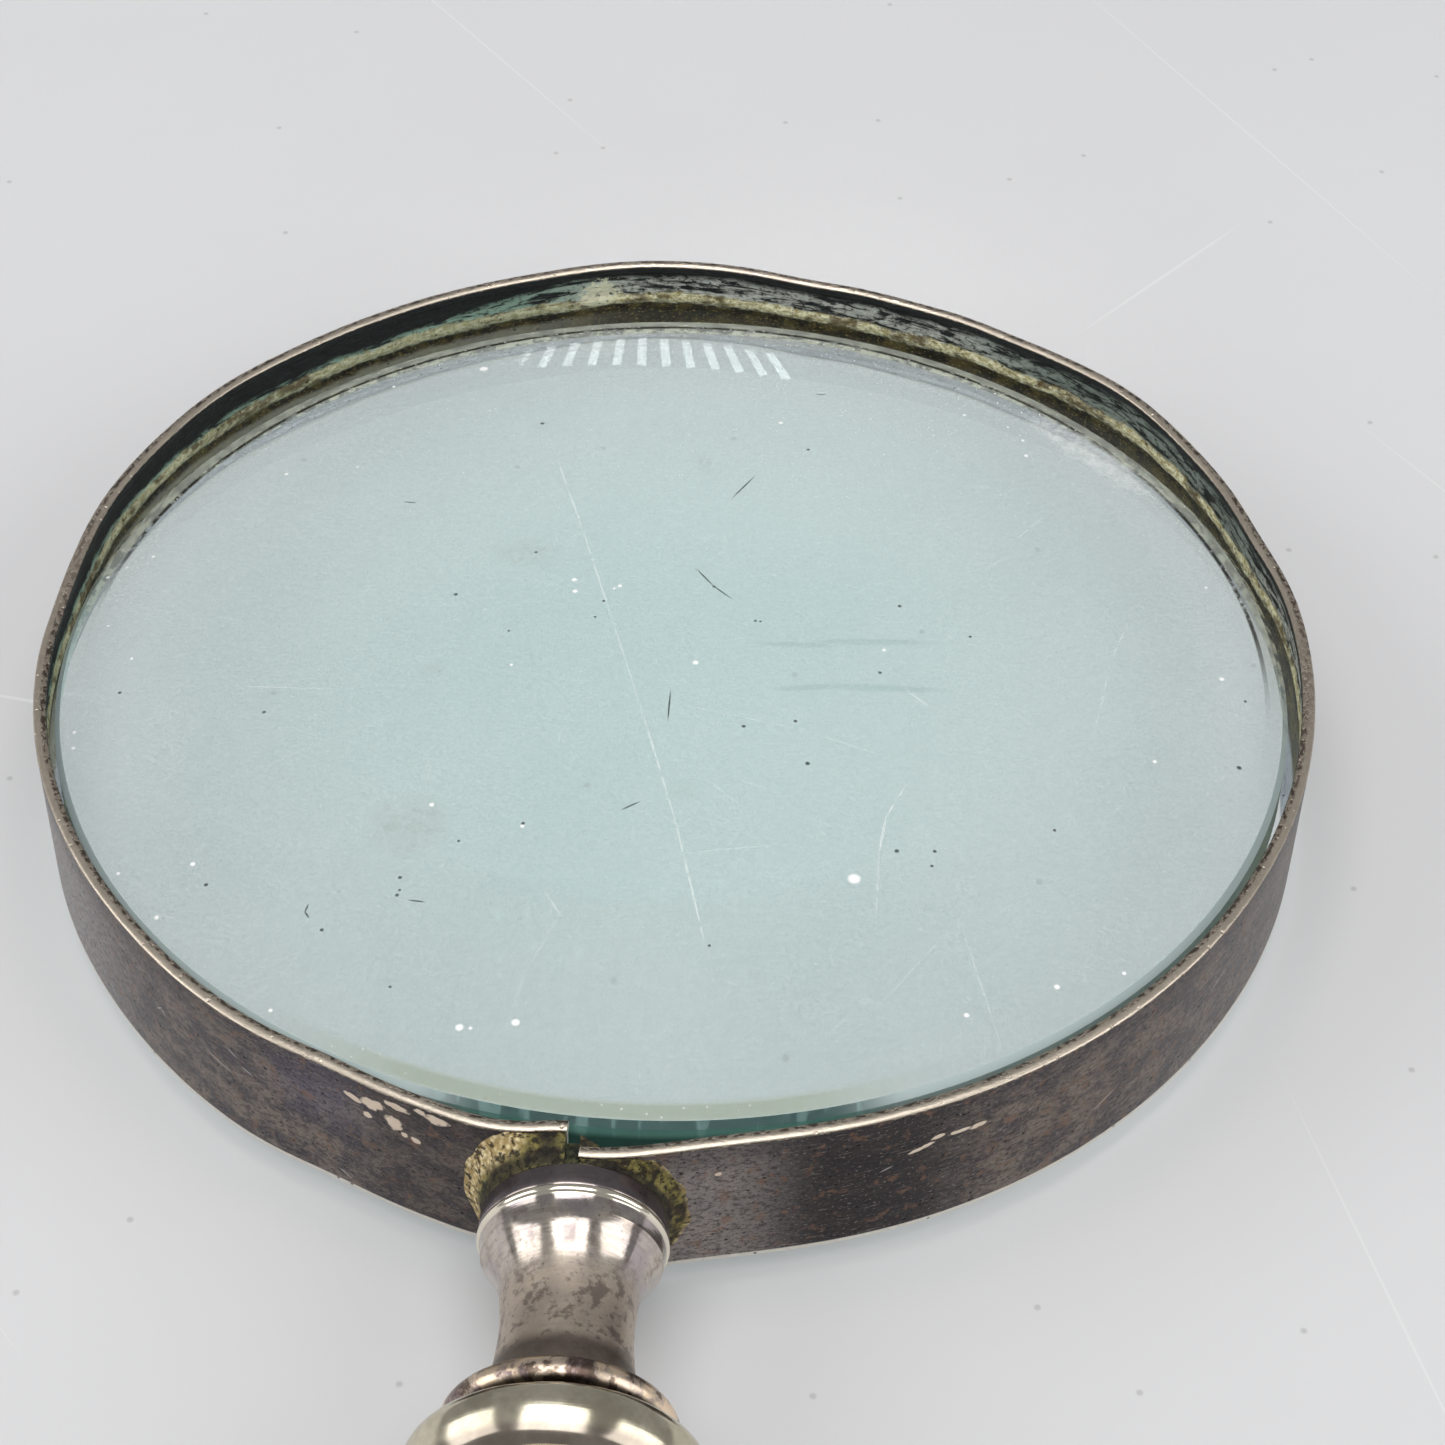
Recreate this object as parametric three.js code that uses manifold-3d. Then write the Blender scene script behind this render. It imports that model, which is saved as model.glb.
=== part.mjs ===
// Hand lens, the large reading kind: a round glass lens held in the channel of a flat metal band.
// The band's two ends are soldered to a turned neck, and a wooden handle follows behind a bead and a ferrule.
// Millimetres, +Z up, with the handle along -Y. It lies at rest: the far edge of the band and the ferrule's
// bead touch z = 0. The origin is the centre of the bottom of the bounding box.

import * as THREE from 'three';
import { mergeVertices } from 'three/addons/utils/BufferGeometryUtils.js';
import Module from 'manifold-3d';

// Lens: both faces bulge, and its upright edge has two ground bevels
const lensRadius = 49.25;
const lensEdgeThickness = 4.0;
const lensBulge = 3.8;
const lensBevel = 0.45;
const lensDepth = 2.7;
const lensLean = 3.1;
const lensSlip = 0.2;

// Band: a strip bent round the lens, with a shallow channel between two lips on its inside.
// The worn lens has room in the channel, and the band's inward bends keep it there.
const lensClearance = 1.1;
const bandThickness = 1.0;
const channelDepth = 0.55;
const bandRadius = lensRadius + lensClearance + bandThickness - channelDepth;
const bandHeight = 13.2;
const channelLip = 0.8;
const splitGap = 1.15;
const splitAngle = -90.6;

// The right end of the band is sprung outward, over this many degrees
const sprungOut = 1.5;
const sprungSpread = 8;

// Bends of the worn band: angle round it, how far out as a share of the deepest, and spread in degrees
const bendDepth = 0.7;
const bendShares = [
  { at: 23, out: -0.57, spread: 6 },
  { at: 46, out: 0.79, spread: 8 },
  { at: 62, out: -0.57, spread: 7 },
  { at: 73, out: -0.86, spread: 6 },
  { at: 83, out: -1, spread: 6 },
  { at: 101, out: 0.86, spread: 9 },
  { at: 150, out: 0.79, spread: 10 },
  { at: 165, out: 0.43, spread: 8 },
  { at: 181, out: -0.5, spread: 8 },
  { at: 205, out: 0.19, spread: 12 },
  { at: 248, out: -0.65, spread: 6 },
  { at: 262, out: 0.46, spread: 4 },
  { at: 269, out: -0.84, spread: 3 },
  { at: 308, out: -0.7, spread: 12 },
];

// Neck: a flange on the solder, then a flare down to a waist and a wider foot
const neckFlangeRadius = 6.72;
const neckFlangeBackRadius = 6.6;
const neckFlangeThickness = 2.1;
const neckFlangeRound = 0.3;
const neckLength = 13.8;
const neckWaistRadius = 4.58;
const neckFootRadius = 5.0;
const handleSetAngle = 5.36;

// Flare and foot of the neck: shares of its length, and of the way out from the waist
const neckFlareShares = [[0.12, 0.83], [0.175, 0.47], [0.25, 0.22], [0.36, 0.11], [0.51, 0]];
const neckFootShares = [[0.69, 0.4], [0.87, 0.95], [1, 1]];

// Solder: a fillet between each end of the band and the neck's flange
const solderThickness = 2.1;
const solderReach = 8.2;
const solderInset = 0.3;

// Collar: one round bead at the foot of the neck
const collarRadius = 8.05;
const collarLength = 2.06;

// Ferrule: a hub and a large bead that falls to a cove, then a sleeve with a rolled lip
const ferruleHubRadius = 7.2;
const ferruleHubLength = 0.88;
const ferruleBeadRadius = 10.2;
const ferruleBeadBack = 1.43;
const ferruleBeadFront = 3.2;
const ferruleCoveRadius = 8.35;
const ferruleCoveLength = 0.9;
const ferruleSleeveRadius = 9.1;
const ferruleSleeveLength = 9.5;
const ferruleLipRadius = 9.6;
const ferruleLipLength = 1.6;
const ferruleWall = 1.0;
const ferruleFloor = 2.0;

// Handle: turned hardwood with a slow swell, and a tenon at each end
const handleLength = 92.0;
const handleShoulderRadius = 9.2;
const handleSwellRadius = 11.6;
const handleTailRadius = 8.9;
const tenonLength = 10.0;
const tailTenonRadius = 7.4;
const tailTenonLength = 7.0;

// Swell of the handle: its place along the handle, and shares of the way out from each end's radius
const swellPlaceShare = 0.6;
const swellRiseShares = [[0.1, 0.06], [0.3, 0.42], [0.6, 0.82]];
const swellFallShares = [[0.65, 0.85], [0.3, 0.42]];

// Butt cap, and the screw that holds it
const capRadius = 9.9;
const capWaistRadius = 9.4;
const capBeadLength = 2.0;
const capSleeveLength = 8.0;
const capDomeLength = 4.2;
const capFaceRadius = 5.0;
const screwRadius = 1.1;
const screwLength = 18.0;
const screwHeadRadius = 2.4;
const screwHeadLength = 1.6;
const screwSlotWidth = 0.6;
const screwSlotDepth = 0.7;

// Tang: a steel rod from inside the neck, through the collar and ferrule, into the handle
const tangRadius = 2.0;
const tangChamfer = 0.5;
const tangInNeck = 9.0;
const tangInHandle = 42.0;

// Fits: the gap between two seated pieces, the clearance round a rod, and the room past its end
const seatGap = 0.3;
const rodClearance = 0.15;
const boreEndRoom = 1.0;
const cutOverrun = 1.0;

// Counts of facets
const bandSteps = 144;
const lensSegments = 72;
const lensFaceSteps = 7;
const turnedSegments = 40;
const rodSegments = 20;

const degrees = Math.PI / 180;
const wasm = await Module();
wasm.setup();

// Between a closed geometry and a solid
function toSolid(geometry) {
  const bare = geometry.clone();
  bare.deleteAttribute('normal');
  bare.deleteAttribute('uv');
  const welded = mergeVertices(bare);
  return new wasm.Manifold(new wasm.Mesh({
    numProp: 3,
    vertProperties: new Float32Array(welded.attributes.position.array),
    triVerts: new Uint32Array(welded.index.array),
  }));
}

function toGeometry(solid) {
  const mesh = solid.getMesh();
  const geometry = new THREE.BufferGeometry();
  geometry.setAttribute('position', new THREE.BufferAttribute(new Float32Array(mesh.vertProperties), 3));
  geometry.setIndex(new THREE.BufferAttribute(new Uint32Array(mesh.triVerts), 1));
  geometry.computeVertexNormals();
  return geometry;
}

// A turned piece from a profile of [station, radius], with its stations running along -Y
function turned(profile, segments = turnedSegments) {
  const points = profile.map(([station, radius]) => new THREE.Vector2(radius, -station));
  return new THREE.LatheGeometry(points.reverse(), segments);
}

// A round stretch of a profile about [station, radius], between two angles from straight out
function roundStretch([station, radius], along, out, from, to, steps) {
  const points = [];
  for (let i = 0; i <= steps; i += 1) {
    const angle = (from + (to - from) * i / steps) * degrees;
    points.push([station + along * Math.sin(angle), radius + out * Math.cos(angle)]);
  }
  return points;
}

// A smooth stretch of a profile through a few [station, radius] points
function smoothStretch(picked, steps) {
  const curve = new THREE.SplineCurve(picked.map(([station, radius]) => new THREE.Vector2(station, radius)));
  return curve.getPoints(steps).map((point) => [point.x, point.y]);
}

// Places of [along, out] shares between a first and a second [station, radius]
function placed(shares, [firstStation, firstRadius], [secondStation, secondRadius]) {
  return shares.map(([along, out]) => [
    firstStation + along * (secondStation - firstStation),
    firstRadius + out * (secondRadius - firstRadius),
  ]);
}

// The ring's own frame: its centre at the origin, its middle plane at z = 0, the neck towards -Y
const halfHeight = bandHeight / 2;
const splitHalfAngle = splitGap / 2 / bandRadius / degrees;
const rightEnd = splitAngle + splitHalfAngle;
const leftEnd = splitAngle + 360 - splitHalfAngle;
const mountReach = bandRadius + solderThickness + neckFlangeThickness;
const neckPlace = new THREE.Matrix4()
  .makeRotationZ(handleSetAngle * degrees)
  .setPosition(0, -mountReach, 0);

// Stations along the handle, from the front of the neck's flange
const flangeBack = -neckFlangeThickness;
const collarStart = neckLength + seatGap;
const collarEnd = collarStart + collarLength;
const ferruleStart = collarEnd + seatGap;
const hubEnd = ferruleStart + ferruleHubLength;
const beadTop = hubEnd + ferruleBeadBack;
const coveStart = beadTop + ferruleBeadFront;
const sleeveStart = coveStart + ferruleCoveLength;
const sleeveEnd = sleeveStart + ferruleSleeveLength;
const ferruleEnd = sleeveEnd + ferruleLipLength;
const handleStart = ferruleEnd + seatGap;
const handleEnd = handleStart + handleLength;
const swellStation = handleStart + swellPlaceShare * handleLength;
const tailTenonEnd = handleEnd + tailTenonLength;
const capStart = handleEnd + seatGap;
const domeStart = capStart + capSleeveLength;
const capFace = domeStart + capDomeLength;
const screwEnd = tailTenonEnd - screwLength;
const tangStart = neckLength - tangInNeck;
const tangEnd = handleStart + tangInHandle;

// Bores and seats
const tangBore = tangRadius + rodClearance;
const screwBore = screwRadius + rodClearance;
const headBore = screwHeadRadius + rodClearance;
const socketRadius = ferruleSleeveRadius - ferruleWall;
const tenonRadius = socketRadius - seatGap;
const capSocketRadius = tailTenonRadius + seatGap;

// Outer radius of the band at an angle between its two ends
function bandRadiusAt(angle) {
  const swell = (at, out, spread) => out * Math.exp(-(((angle - at) / spread) ** 2));
  const bends = bendShares.map(({ at, out, spread }) => swell(at, out * bendDepth, spread));
  return bends.reduce((sum, bend) => sum + bend, bandRadius + swell(rightEnd, sprungOut, sprungSpread));
}

// The strip between two depths below the band's outer face, as an upright solid
function bandStrip(outerDepth, innerDepth, height) {
  const angles = Array.from({ length: bandSteps + 1 }, (_, i) => rightEnd + (leftEnd - rightEnd) * i / bandSteps);
  const point = (angle, depth) => new THREE.Vector2(
    (bandRadiusAt(angle) - depth) * Math.cos(angle * degrees),
    (bandRadiusAt(angle) - depth) * Math.sin(angle * degrees),
  );
  const outer = angles.map((angle) => point(angle, outerDepth));
  const inner = angles.map((angle) => point(angle, innerDepth)).reverse();
  const geometry = new THREE.ExtrudeGeometry(new THREE.Shape([...outer, ...inner]), {
    depth: height,
    bevelEnabled: false,
  });
  geometry.translate(0, 0, -height / 2);
  return toSolid(geometry);
}

function makeBand() {
  const strip = bandStrip(0, bandThickness, bandHeight);
  const channel = bandStrip(bandThickness - channelDepth, bandThickness + cutOverrun, bandHeight - 2 * channelLip);
  return toGeometry(strip.subtract(channel));
}

// Lens: turned about its own axis, then laid flat
function makeLens() {
  const faceRadius = lensRadius - lensBevel;
  const halfEdge = lensEdgeThickness / 2;
  const curvature = (faceRadius ** 2 + lensBulge ** 2) / (2 * lensBulge);
  const upper = [];
  for (let i = 0; i <= lensFaceSteps; i += 1) {
    const radius = faceRadius * Math.sqrt(i / lensFaceSteps);
    const drop = curvature - Math.sqrt(curvature ** 2 - radius ** 2);
    upper.push(new THREE.Vector2(radius, halfEdge + lensBulge - drop));
  }
  upper.push(new THREE.Vector2(lensRadius, halfEdge - lensBevel));
  const lower = upper.map((point) => new THREE.Vector2(point.x, -point.y));
  return new THREE.LatheGeometry([...lower, ...upper.reverse()], lensSegments).rotateX(90 * degrees);
}

// Solder: one lump on each end of the band, cut to the band's outside and kept off the flange
function makeSolder(side) {
  const base = flangeBack - seatGap;
  const spread = solderReach - neckFlangeRadius;
  const cove = roundStretch([base - spread, solderReach], spread, -spread, 90, 0, 4).reverse();
  const inside = -(mountReach - bandRadius + bandThickness);
  const lump = toSolid(turned([[inside, 0], [inside, solderReach], ...cove, [base, 0]]).applyMatrix4(neckPlace));
  const envelope = bandStrip(-seatGap, bandRadius / 2, bandHeight + 2 * cutOverrun);
  const width = 2 * solderReach;
  const half = new THREE.BoxGeometry(width, width, bandHeight - 2 * solderInset);
  const splitX = bandRadius * Math.cos(splitAngle * degrees);
  half.translate(splitX + side * (width / 2 + splitGap / 2 + solderInset), -mountReach, 0);
  return toGeometry(lump.subtract(envelope).intersect(toSolid(half)));
}

// Neck, with a blind bore for the tang
function makeNeck() {
  const flare = placed(neckFlareShares, [0, neckWaistRadius], [neckLength, neckFlangeRadius]);
  const foot = placed(neckFootShares, [0, neckWaistRadius], [neckLength, neckFootRadius]);
  return turned([
    [flangeBack, 0],
    [flangeBack, neckFlangeBackRadius],
    [-neckFlangeRound, neckFlangeRadius],
    [0, neckFlangeRadius],
    [neckFlangeRound, neckFlangeRadius - neckFlangeRound],
    ...smoothStretch([...flare, ...foot], 14),
    [neckLength, tangBore],
    [tangStart - boreEndRoom, tangBore],
    [tangStart - boreEndRoom, 0],
  ]);
}

function makeCollar() {
  const half = collarLength / 2;
  return turned([
    [collarStart, tangBore],
    ...roundStretch([collarStart + half, collarRadius - half], half, half, -90, 90, 8),
    [collarEnd, tangBore],
    [collarStart, tangBore],
  ]);
}

function makeFerrule() {
  const beadFoot = [beadTop, ferruleBeadRadius - ferruleBeadBack];
  const beadDrop = ferruleBeadRadius - ferruleCoveRadius;
  const lipHalf = ferruleLipLength / 2;
  const lipRise = ferruleLipRadius - ferruleSleeveRadius;
  const socketFloor = hubEnd + ferruleFloor;
  return turned([
    [ferruleStart, tangBore],
    [ferruleStart, ferruleHubRadius],
    [hubEnd, ferruleHubRadius],
    ...roundStretch(beadFoot, ferruleBeadBack, ferruleBeadBack, -80, 0, 5),
    ...roundStretch([beadTop, ferruleCoveRadius], ferruleBeadFront, beadDrop, 18, 90, 5),
    [sleeveStart, ferruleSleeveRadius],
    [sleeveEnd, ferruleSleeveRadius],
    ...roundStretch([sleeveEnd + lipHalf, ferruleSleeveRadius], lipHalf, lipRise, -60, 90, 5),
    [ferruleEnd, socketRadius],
    [socketFloor, socketRadius],
    [socketFloor, tangBore],
    [ferruleStart, tangBore],
  ]);
}

function makeHandle() {
  const shoulder = [handleStart, handleShoulderRadius];
  const tail = [handleEnd, handleTailRadius];
  const swellTop = [swellStation, handleSwellRadius];
  const rise = placed(swellRiseShares, shoulder, swellTop);
  const fall = placed(swellFallShares, tail, swellTop);
  return turned([
    [tangEnd + boreEndRoom, 0],
    [tangEnd + boreEndRoom, tangBore],
    [handleStart - tenonLength, tangBore],
    [handleStart - tenonLength, tenonRadius],
    [handleStart, tenonRadius],
    ...smoothStretch([shoulder, ...rise, swellTop, ...fall, tail], 14),
    [handleEnd, tailTenonRadius],
    [tailTenonEnd, tailTenonRadius],
    [tailTenonEnd, screwBore],
    [screwEnd - boreEndRoom, screwBore],
    [screwEnd - boreEndRoom, 0],
  ]);
}

function makeButtCap() {
  const beadHalf = capBeadLength / 2;
  const beadRise = capRadius - capWaistRadius;
  const headFloor = capFace - screwHeadLength;
  const socketFloor = tailTenonEnd + seatGap;
  return turned([
    [capStart, capSocketRadius],
    [capStart, capWaistRadius],
    ...roundStretch([capStart + beadHalf, capWaistRadius], beadHalf, beadRise, -60, 90, 5),
    [domeStart, capWaistRadius],
    ...roundStretch([domeStart, capFaceRadius], capDomeLength, capWaistRadius - capFaceRadius, 15, 90, 5),
    [capFace, headBore],
    [headFloor, headBore],
    [headFloor, screwBore],
    [socketFloor, screwBore],
    [socketFloor, capSocketRadius],
    [capStart, capSocketRadius],
  ]);
}

function makeButtScrew() {
  const headBack = capFace - screwHeadLength + seatGap;
  const blank = toSolid(turned([
    [screwEnd, 0],
    [screwEnd + screwRadius, screwRadius],
    [headBack, screwRadius],
    [headBack, screwHeadRadius],
    [capFace, screwHeadRadius],
    [capFace, 0],
  ], rodSegments));
  const slot = new THREE.BoxGeometry(2 * screwHeadRadius + cutOverrun, 2 * screwSlotDepth, screwSlotWidth);
  slot.translate(0, -capFace, 0);
  return toGeometry(blank.subtract(toSolid(slot)));
}

function makeTang() {
  return turned([
    [tangStart, 0],
    [tangStart, tangRadius - tangChamfer],
    [tangStart + tangChamfer, tangRadius],
    [tangEnd - tangChamfer, tangRadius],
    [tangEnd, tangRadius - tangChamfer],
    [tangEnd, 0],
  ], rodSegments);
}

// Finishes
const silverPlate = { color: 0x8b8682, roughness: 0.35, metalness: 1.0 };
const tarnishedPlate = { color: 0x5b5452, roughness: 0.5, metalness: 0.9 };
const solderCrust = { color: 0x8c8052, roughness: 0.85, metalness: 0.2 };
const paleGlass = { color: 0xb9d2cf, roughness: 0.02, metalness: 0.0, transparent: true, opacity: 0.4 };
const darkWood = { color: 0x3d1c18, roughness: 0.35, metalness: 0.0 };
const steel = { color: 0x77777a, roughness: 0.4, metalness: 1.0 };

function piece(name, geometry, finish) {
  const mesh = new THREE.Mesh(geometry, new THREE.MeshStandardMaterial(finish));
  mesh.name = name;
  return mesh;
}

// Ring: the lens sits below the band's top edge, has slipped to the far side and leans, with its handle side high
const lens = piece('lens', makeLens(), paleGlass);
lens.position.set(0, lensSlip, halfHeight - lensDepth - lensEdgeThickness / 2);
lens.rotation.x = -lensLean * degrees;
const band = piece('rim_band', makeBand(), tarnishedPlate);
const solderLeft = piece('solder_left', makeSolder(-1), solderCrust);
const solderRight = piece('solder_right', makeSolder(1), solderCrust);

// Handle: everything on the neck's axis, which is set a little off the ring's radius
const handleGroup = new THREE.Group();
handleGroup.applyMatrix4(neckPlace);
handleGroup.add(
  piece('neck', makeNeck(), silverPlate),
  piece('collar', makeCollar(), tarnishedPlate),
  piece('ferrule', makeFerrule(), silverPlate),
  piece('tang', makeTang(), steel),
  piece('handle', makeHandle(), darkWood),
  piece('butt_cap', makeButtCap(), silverPlate),
  piece('butt_screw', makeButtScrew(), steel),
);

// At rest it tips about X until its widest turned piece meets the surface with the band's far edge
const lowestPlaces = [
  [beadTop, ferruleBeadRadius],
  [swellStation, handleSwellRadius],
  [capStart, capRadius],
];
const farEdge = bandRadiusAt(90);
const restTilt = Math.max(...lowestPlaces.map(([station, radius]) => Math.atan2(
  radius - halfHeight,
  farEdge + mountReach + station * Math.cos(handleSetAngle * degrees),
)));
const assembly = new THREE.Group();
assembly.add(band, lens, solderLeft, solderRight, handleGroup);
assembly.rotation.x = -restTilt;

// The centre of the bottom of its box is the origin
const group = new THREE.Group();
group.add(assembly);
const box = new THREE.Box3().setFromObject(group, true);
const centre = box.getCenter(new THREE.Vector3());
assembly.position.set(-centre.x, -centre.y, -box.min.z);

export default group;
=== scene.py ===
"""A large hand lens, laid down at rest: worn glass in a tarnished silver-plated band, on a turned handle."""

import math

import bmesh
import bpy
from mathutils import Matrix, Vector, noise


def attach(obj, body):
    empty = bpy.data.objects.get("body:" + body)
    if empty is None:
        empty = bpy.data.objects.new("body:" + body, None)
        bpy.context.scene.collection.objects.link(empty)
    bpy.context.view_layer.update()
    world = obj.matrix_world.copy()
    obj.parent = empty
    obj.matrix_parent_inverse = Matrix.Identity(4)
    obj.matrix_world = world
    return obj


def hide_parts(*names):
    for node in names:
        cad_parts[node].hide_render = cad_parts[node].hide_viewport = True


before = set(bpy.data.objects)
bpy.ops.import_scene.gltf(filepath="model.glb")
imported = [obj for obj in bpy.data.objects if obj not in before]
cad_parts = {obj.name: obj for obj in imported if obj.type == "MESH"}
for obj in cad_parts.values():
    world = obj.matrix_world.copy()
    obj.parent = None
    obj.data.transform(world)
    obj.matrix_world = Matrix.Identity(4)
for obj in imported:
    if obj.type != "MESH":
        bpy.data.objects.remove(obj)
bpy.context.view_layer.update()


# Camera
# The photograph looks down on the glass from the handle's side, close and with a long lens.
# Its place is given from the middle of the ring, which lies tipped on the band's far edge and the ferrule.
ring_centre = Vector((-0.0001547, 0.07120984, 0.00807147))
ring_tilt = math.radians(1.657037)
ring_place = Matrix.Translation(ring_centre) @ Matrix.Rotation(-ring_tilt, 4, "X")

view_azimuth = math.radians(6.02)
view_elevation = math.radians(44.26)
view_roll = math.radians(1.24)
view_distance = 0.258714
view_aim = Vector((0.004022, -0.002102, 0))

camera_data = bpy.data.cameras.new("camera")
camera_data.sensor_width = 36
camera_data.lens = 79.72
camera_data.clip_start = 0.01
camera = bpy.data.objects.new("camera", camera_data)
bpy.context.scene.collection.objects.link(camera)
camera_turn = (
    Matrix.Rotation(view_azimuth, 4, "Z")
    @ Matrix.Rotation(math.pi / 2 - view_elevation, 4, "X")
    @ Matrix.Rotation(view_roll, 4, "Z")
)
camera_back = camera_turn @ Vector((0, 0, view_distance))
camera.matrix_world = ring_place @ Matrix.Translation(view_aim + camera_back) @ camera_turn
bpy.context.scene.camera = camera


# Lens
# A ground and polished disc of pale green-blue glass with two bulging faces and a dull ground edge.
# It is loose in the band, so its handle side rides high and its far side has dropped.
# It carries dust, hairs, brown stains and the scratches of long use.
lens_radius = 0.04925
lens_half_edge = 0.002
lens_bevel = 0.00045
lens_bulge = 0.0038
lens_rim = 1000 * (lens_radius - lens_bevel)
lens_lean = math.radians(2.9)
lens_list = math.radians(0.6)
lens_place = (
    ring_place
    @ Matrix.Translation((-0.0003, 0.0, 0.0018))
    @ Matrix.Rotation(-lens_lean, 4, "X")
    @ Matrix.Rotation(-lens_list, 4, "Y")
)


class Value:
    """A socket of a material, on which Python's own operators add Math nodes."""

    def __init__(self, finish, socket):
        self.finish = finish
        self.socket = socket

    def math(self, operation, *others):
        return self.finish.node("ShaderNodeMath", {"operation": operation}, [self, *others])

    def __add__(self, other):
        return self.math("ADD", other)

    def __sub__(self, other):
        return self.math("SUBTRACT", other)

    def __mul__(self, other):
        return self.math("MULTIPLY", other)

    def __truediv__(self, other):
        return self.math("DIVIDE", other)

    def __rsub__(self, other):
        return self.finish.node("ShaderNodeMath", {"operation": "SUBTRACT"}, [other, self])

    __radd__ = __add__
    __rmul__ = __mul__

    def __abs__(self):
        return self.math("ABSOLUTE")

    def more(self, edge, soft, low=0.0, high=1.0):
        """Rises from low to high over a soft width round the edge."""
        settings = {"interpolation_type": "SMOOTHSTEP"}
        return self.finish.node("ShaderNodeMapRange", settings, [self, edge - soft, edge + soft, low, high])

    def less(self, edge, soft):
        return self.more(edge, soft, 1.0, 0.0)

    def within(self, low, high, soft):
        return self.more(low, soft) * self.less(high, soft)

    def both(self, other):
        return self.math("MAXIMUM", other)


class Finish:
    """One material, with a Principled shader and a method that adds any other node."""

    def __init__(self, name, roughness=0.5, metallic=0.0):
        self.material = bpy.data.materials.new(name)
        self.material.use_nodes = True
        self.tree = self.material.node_tree
        self.shader = self.tree.nodes["Principled BSDF"]
        self.output = self.tree.nodes["Material Output"]
        self.shader.inputs["Roughness"].default_value = roughness
        self.shader.inputs["Metallic"].default_value = metallic

    def node(self, kind, settings=None, inputs=(), output=0):
        """Adds a node: its settings first, then its inputs by order or by name."""
        node = self.tree.nodes.new(kind)
        for name, setting in (settings or {}).items():
            setattr(node, name, setting)
        named = inputs.items() if isinstance(inputs, dict) else enumerate(inputs)
        for key, value in named:
            self.feed(node.inputs[key], value)
        return Value(self, node.outputs[output])

    def feed(self, socket, value):
        if isinstance(value, Value):
            self.tree.links.new(value.socket, socket)
        elif value is not None:
            socket.default_value = value

    def set(self, **inputs):
        """Feeds the Principled shader: base_color=..., roughness=..., and so on."""
        for name, value in inputs.items():
            self.feed(self.shader.inputs[name.replace("_", " ").title()], value)

    def at(self, place):
        """Object coordinates in millimetres, measured from a piece's own place."""
        coordinates = self.node("ShaderNodeTexCoord", output=3)
        settings = {"vector_type": "TEXTURE"}
        scale = (0.001, 0.001, 0.001)
        inputs = [coordinates, place.to_translation(), place.to_euler("XYZ"), scale]
        return self.node("ShaderNodeMapping", settings, inputs)

    def strip(self):
        """The piece's own strip coordinates in millimetres: along it, and round its section."""
        return self.node("ShaderNodeUVMap", {"uv_map": "strip"})

    def parts(self, vector):
        node = self.tree.nodes.new("ShaderNodeSeparateXYZ")
        self.feed(node.inputs[0], vector)
        return [Value(self, output) for output in node.outputs]

    def joined(self, *values):
        return self.node("ShaderNodeCombineXYZ", None, list(values))

    def stretch(self, vector, factors):
        return self.node("ShaderNodeVectorMath", {"operation": "MULTIPLY"}, [vector, factors])

    def length(self, vector):
        return self.node("ShaderNodeVectorMath", {"operation": "LENGTH"}, [vector], 1)

    def dot(self, vector, other):
        return self.node("ShaderNodeVectorMath", {"operation": "DOT_PRODUCT"}, [vector, other], 1)

    def cloud(self, vector, scale, detail=4.0, roughness=0.55, distortion=0.0):
        inputs = {
            "Vector": vector, "Scale": scale, "Detail": detail,
            "Roughness": roughness, "Distortion": distortion,
        }
        return self.node("ShaderNodeTexNoise", None, inputs)

    def cells(self, vector, scale, flat=True):
        settings = {"voronoi_dimensions": "2D" if flat else "3D"}
        return self.node("ShaderNodeTexVoronoi", settings, {"Vector": vector, "Scale": scale})

    def mix(self, share, first, second):
        """A colour between two colours."""
        node = self.tree.nodes.new("ShaderNodeMix")
        node.data_type = "RGBA"
        for index, value in ((0, share), (6, first), (7, second)):
            self.feed(node.inputs[index], value)
        return Value(self, node.outputs[2])

    def layered(self, base, *layers):
        """Lays colours over a base, one after another, each by its own share."""
        for share, shade in layers:
            base = self.mix(share, base, shade)
        return base

    def bump(self, height, distance, strength=1.0):
        inputs = {"Strength": strength, "Distance": distance, "Height": height}
        self.set(normal=self.node("ShaderNodeBump", None, inputs))

    def speck(self, plane, centre, radius):
        """1 within a small round spot of a plane, given as (x, y, 1)."""
        away = self.node("ShaderNodeVectorMath", {"operation": "DISTANCE"}, [plane, (*centre, 1.0)], 1)
        return away.less(radius, radius * 0.35)

    def oval(self, plane, centre, reach, turn=0.0, ragged=None, soft=0.3):
        """1 within an oval, turned by an angle in degrees, with its edge moved by a ragged value."""
        cosine, sine = math.cos(math.radians(turn)), math.sin(math.radians(turn))
        ahead = Vector((cosine, sine)) / reach[0]
        aside = Vector((-sine, cosine)) / reach[1]
        along = self.dot(plane, (*ahead, -ahead.dot(Vector(centre))))
        across = self.dot(plane, (*aside, -aside.dot(Vector(centre))))
        square = along * along + across * across
        return (square if ragged is None else square + ragged).less(1.0, soft)

    def line(self, plane, start, end, width):
        """1 on a fine line between two points, fading towards its ends."""
        run = Vector(end) - Vector(start)
        middle = (Vector(end) + Vector(start)) / 2
        turn = math.degrees(math.atan2(run.y, run.x))
        return self.oval(plane, middle, (run.length * 0.62, width), turn, soft=0.7)

    def any(self, shares):
        """The largest of several shares."""
        total = shares[0]
        for share in shares[1:]:
            total = total.both(share)
        return total


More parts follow.
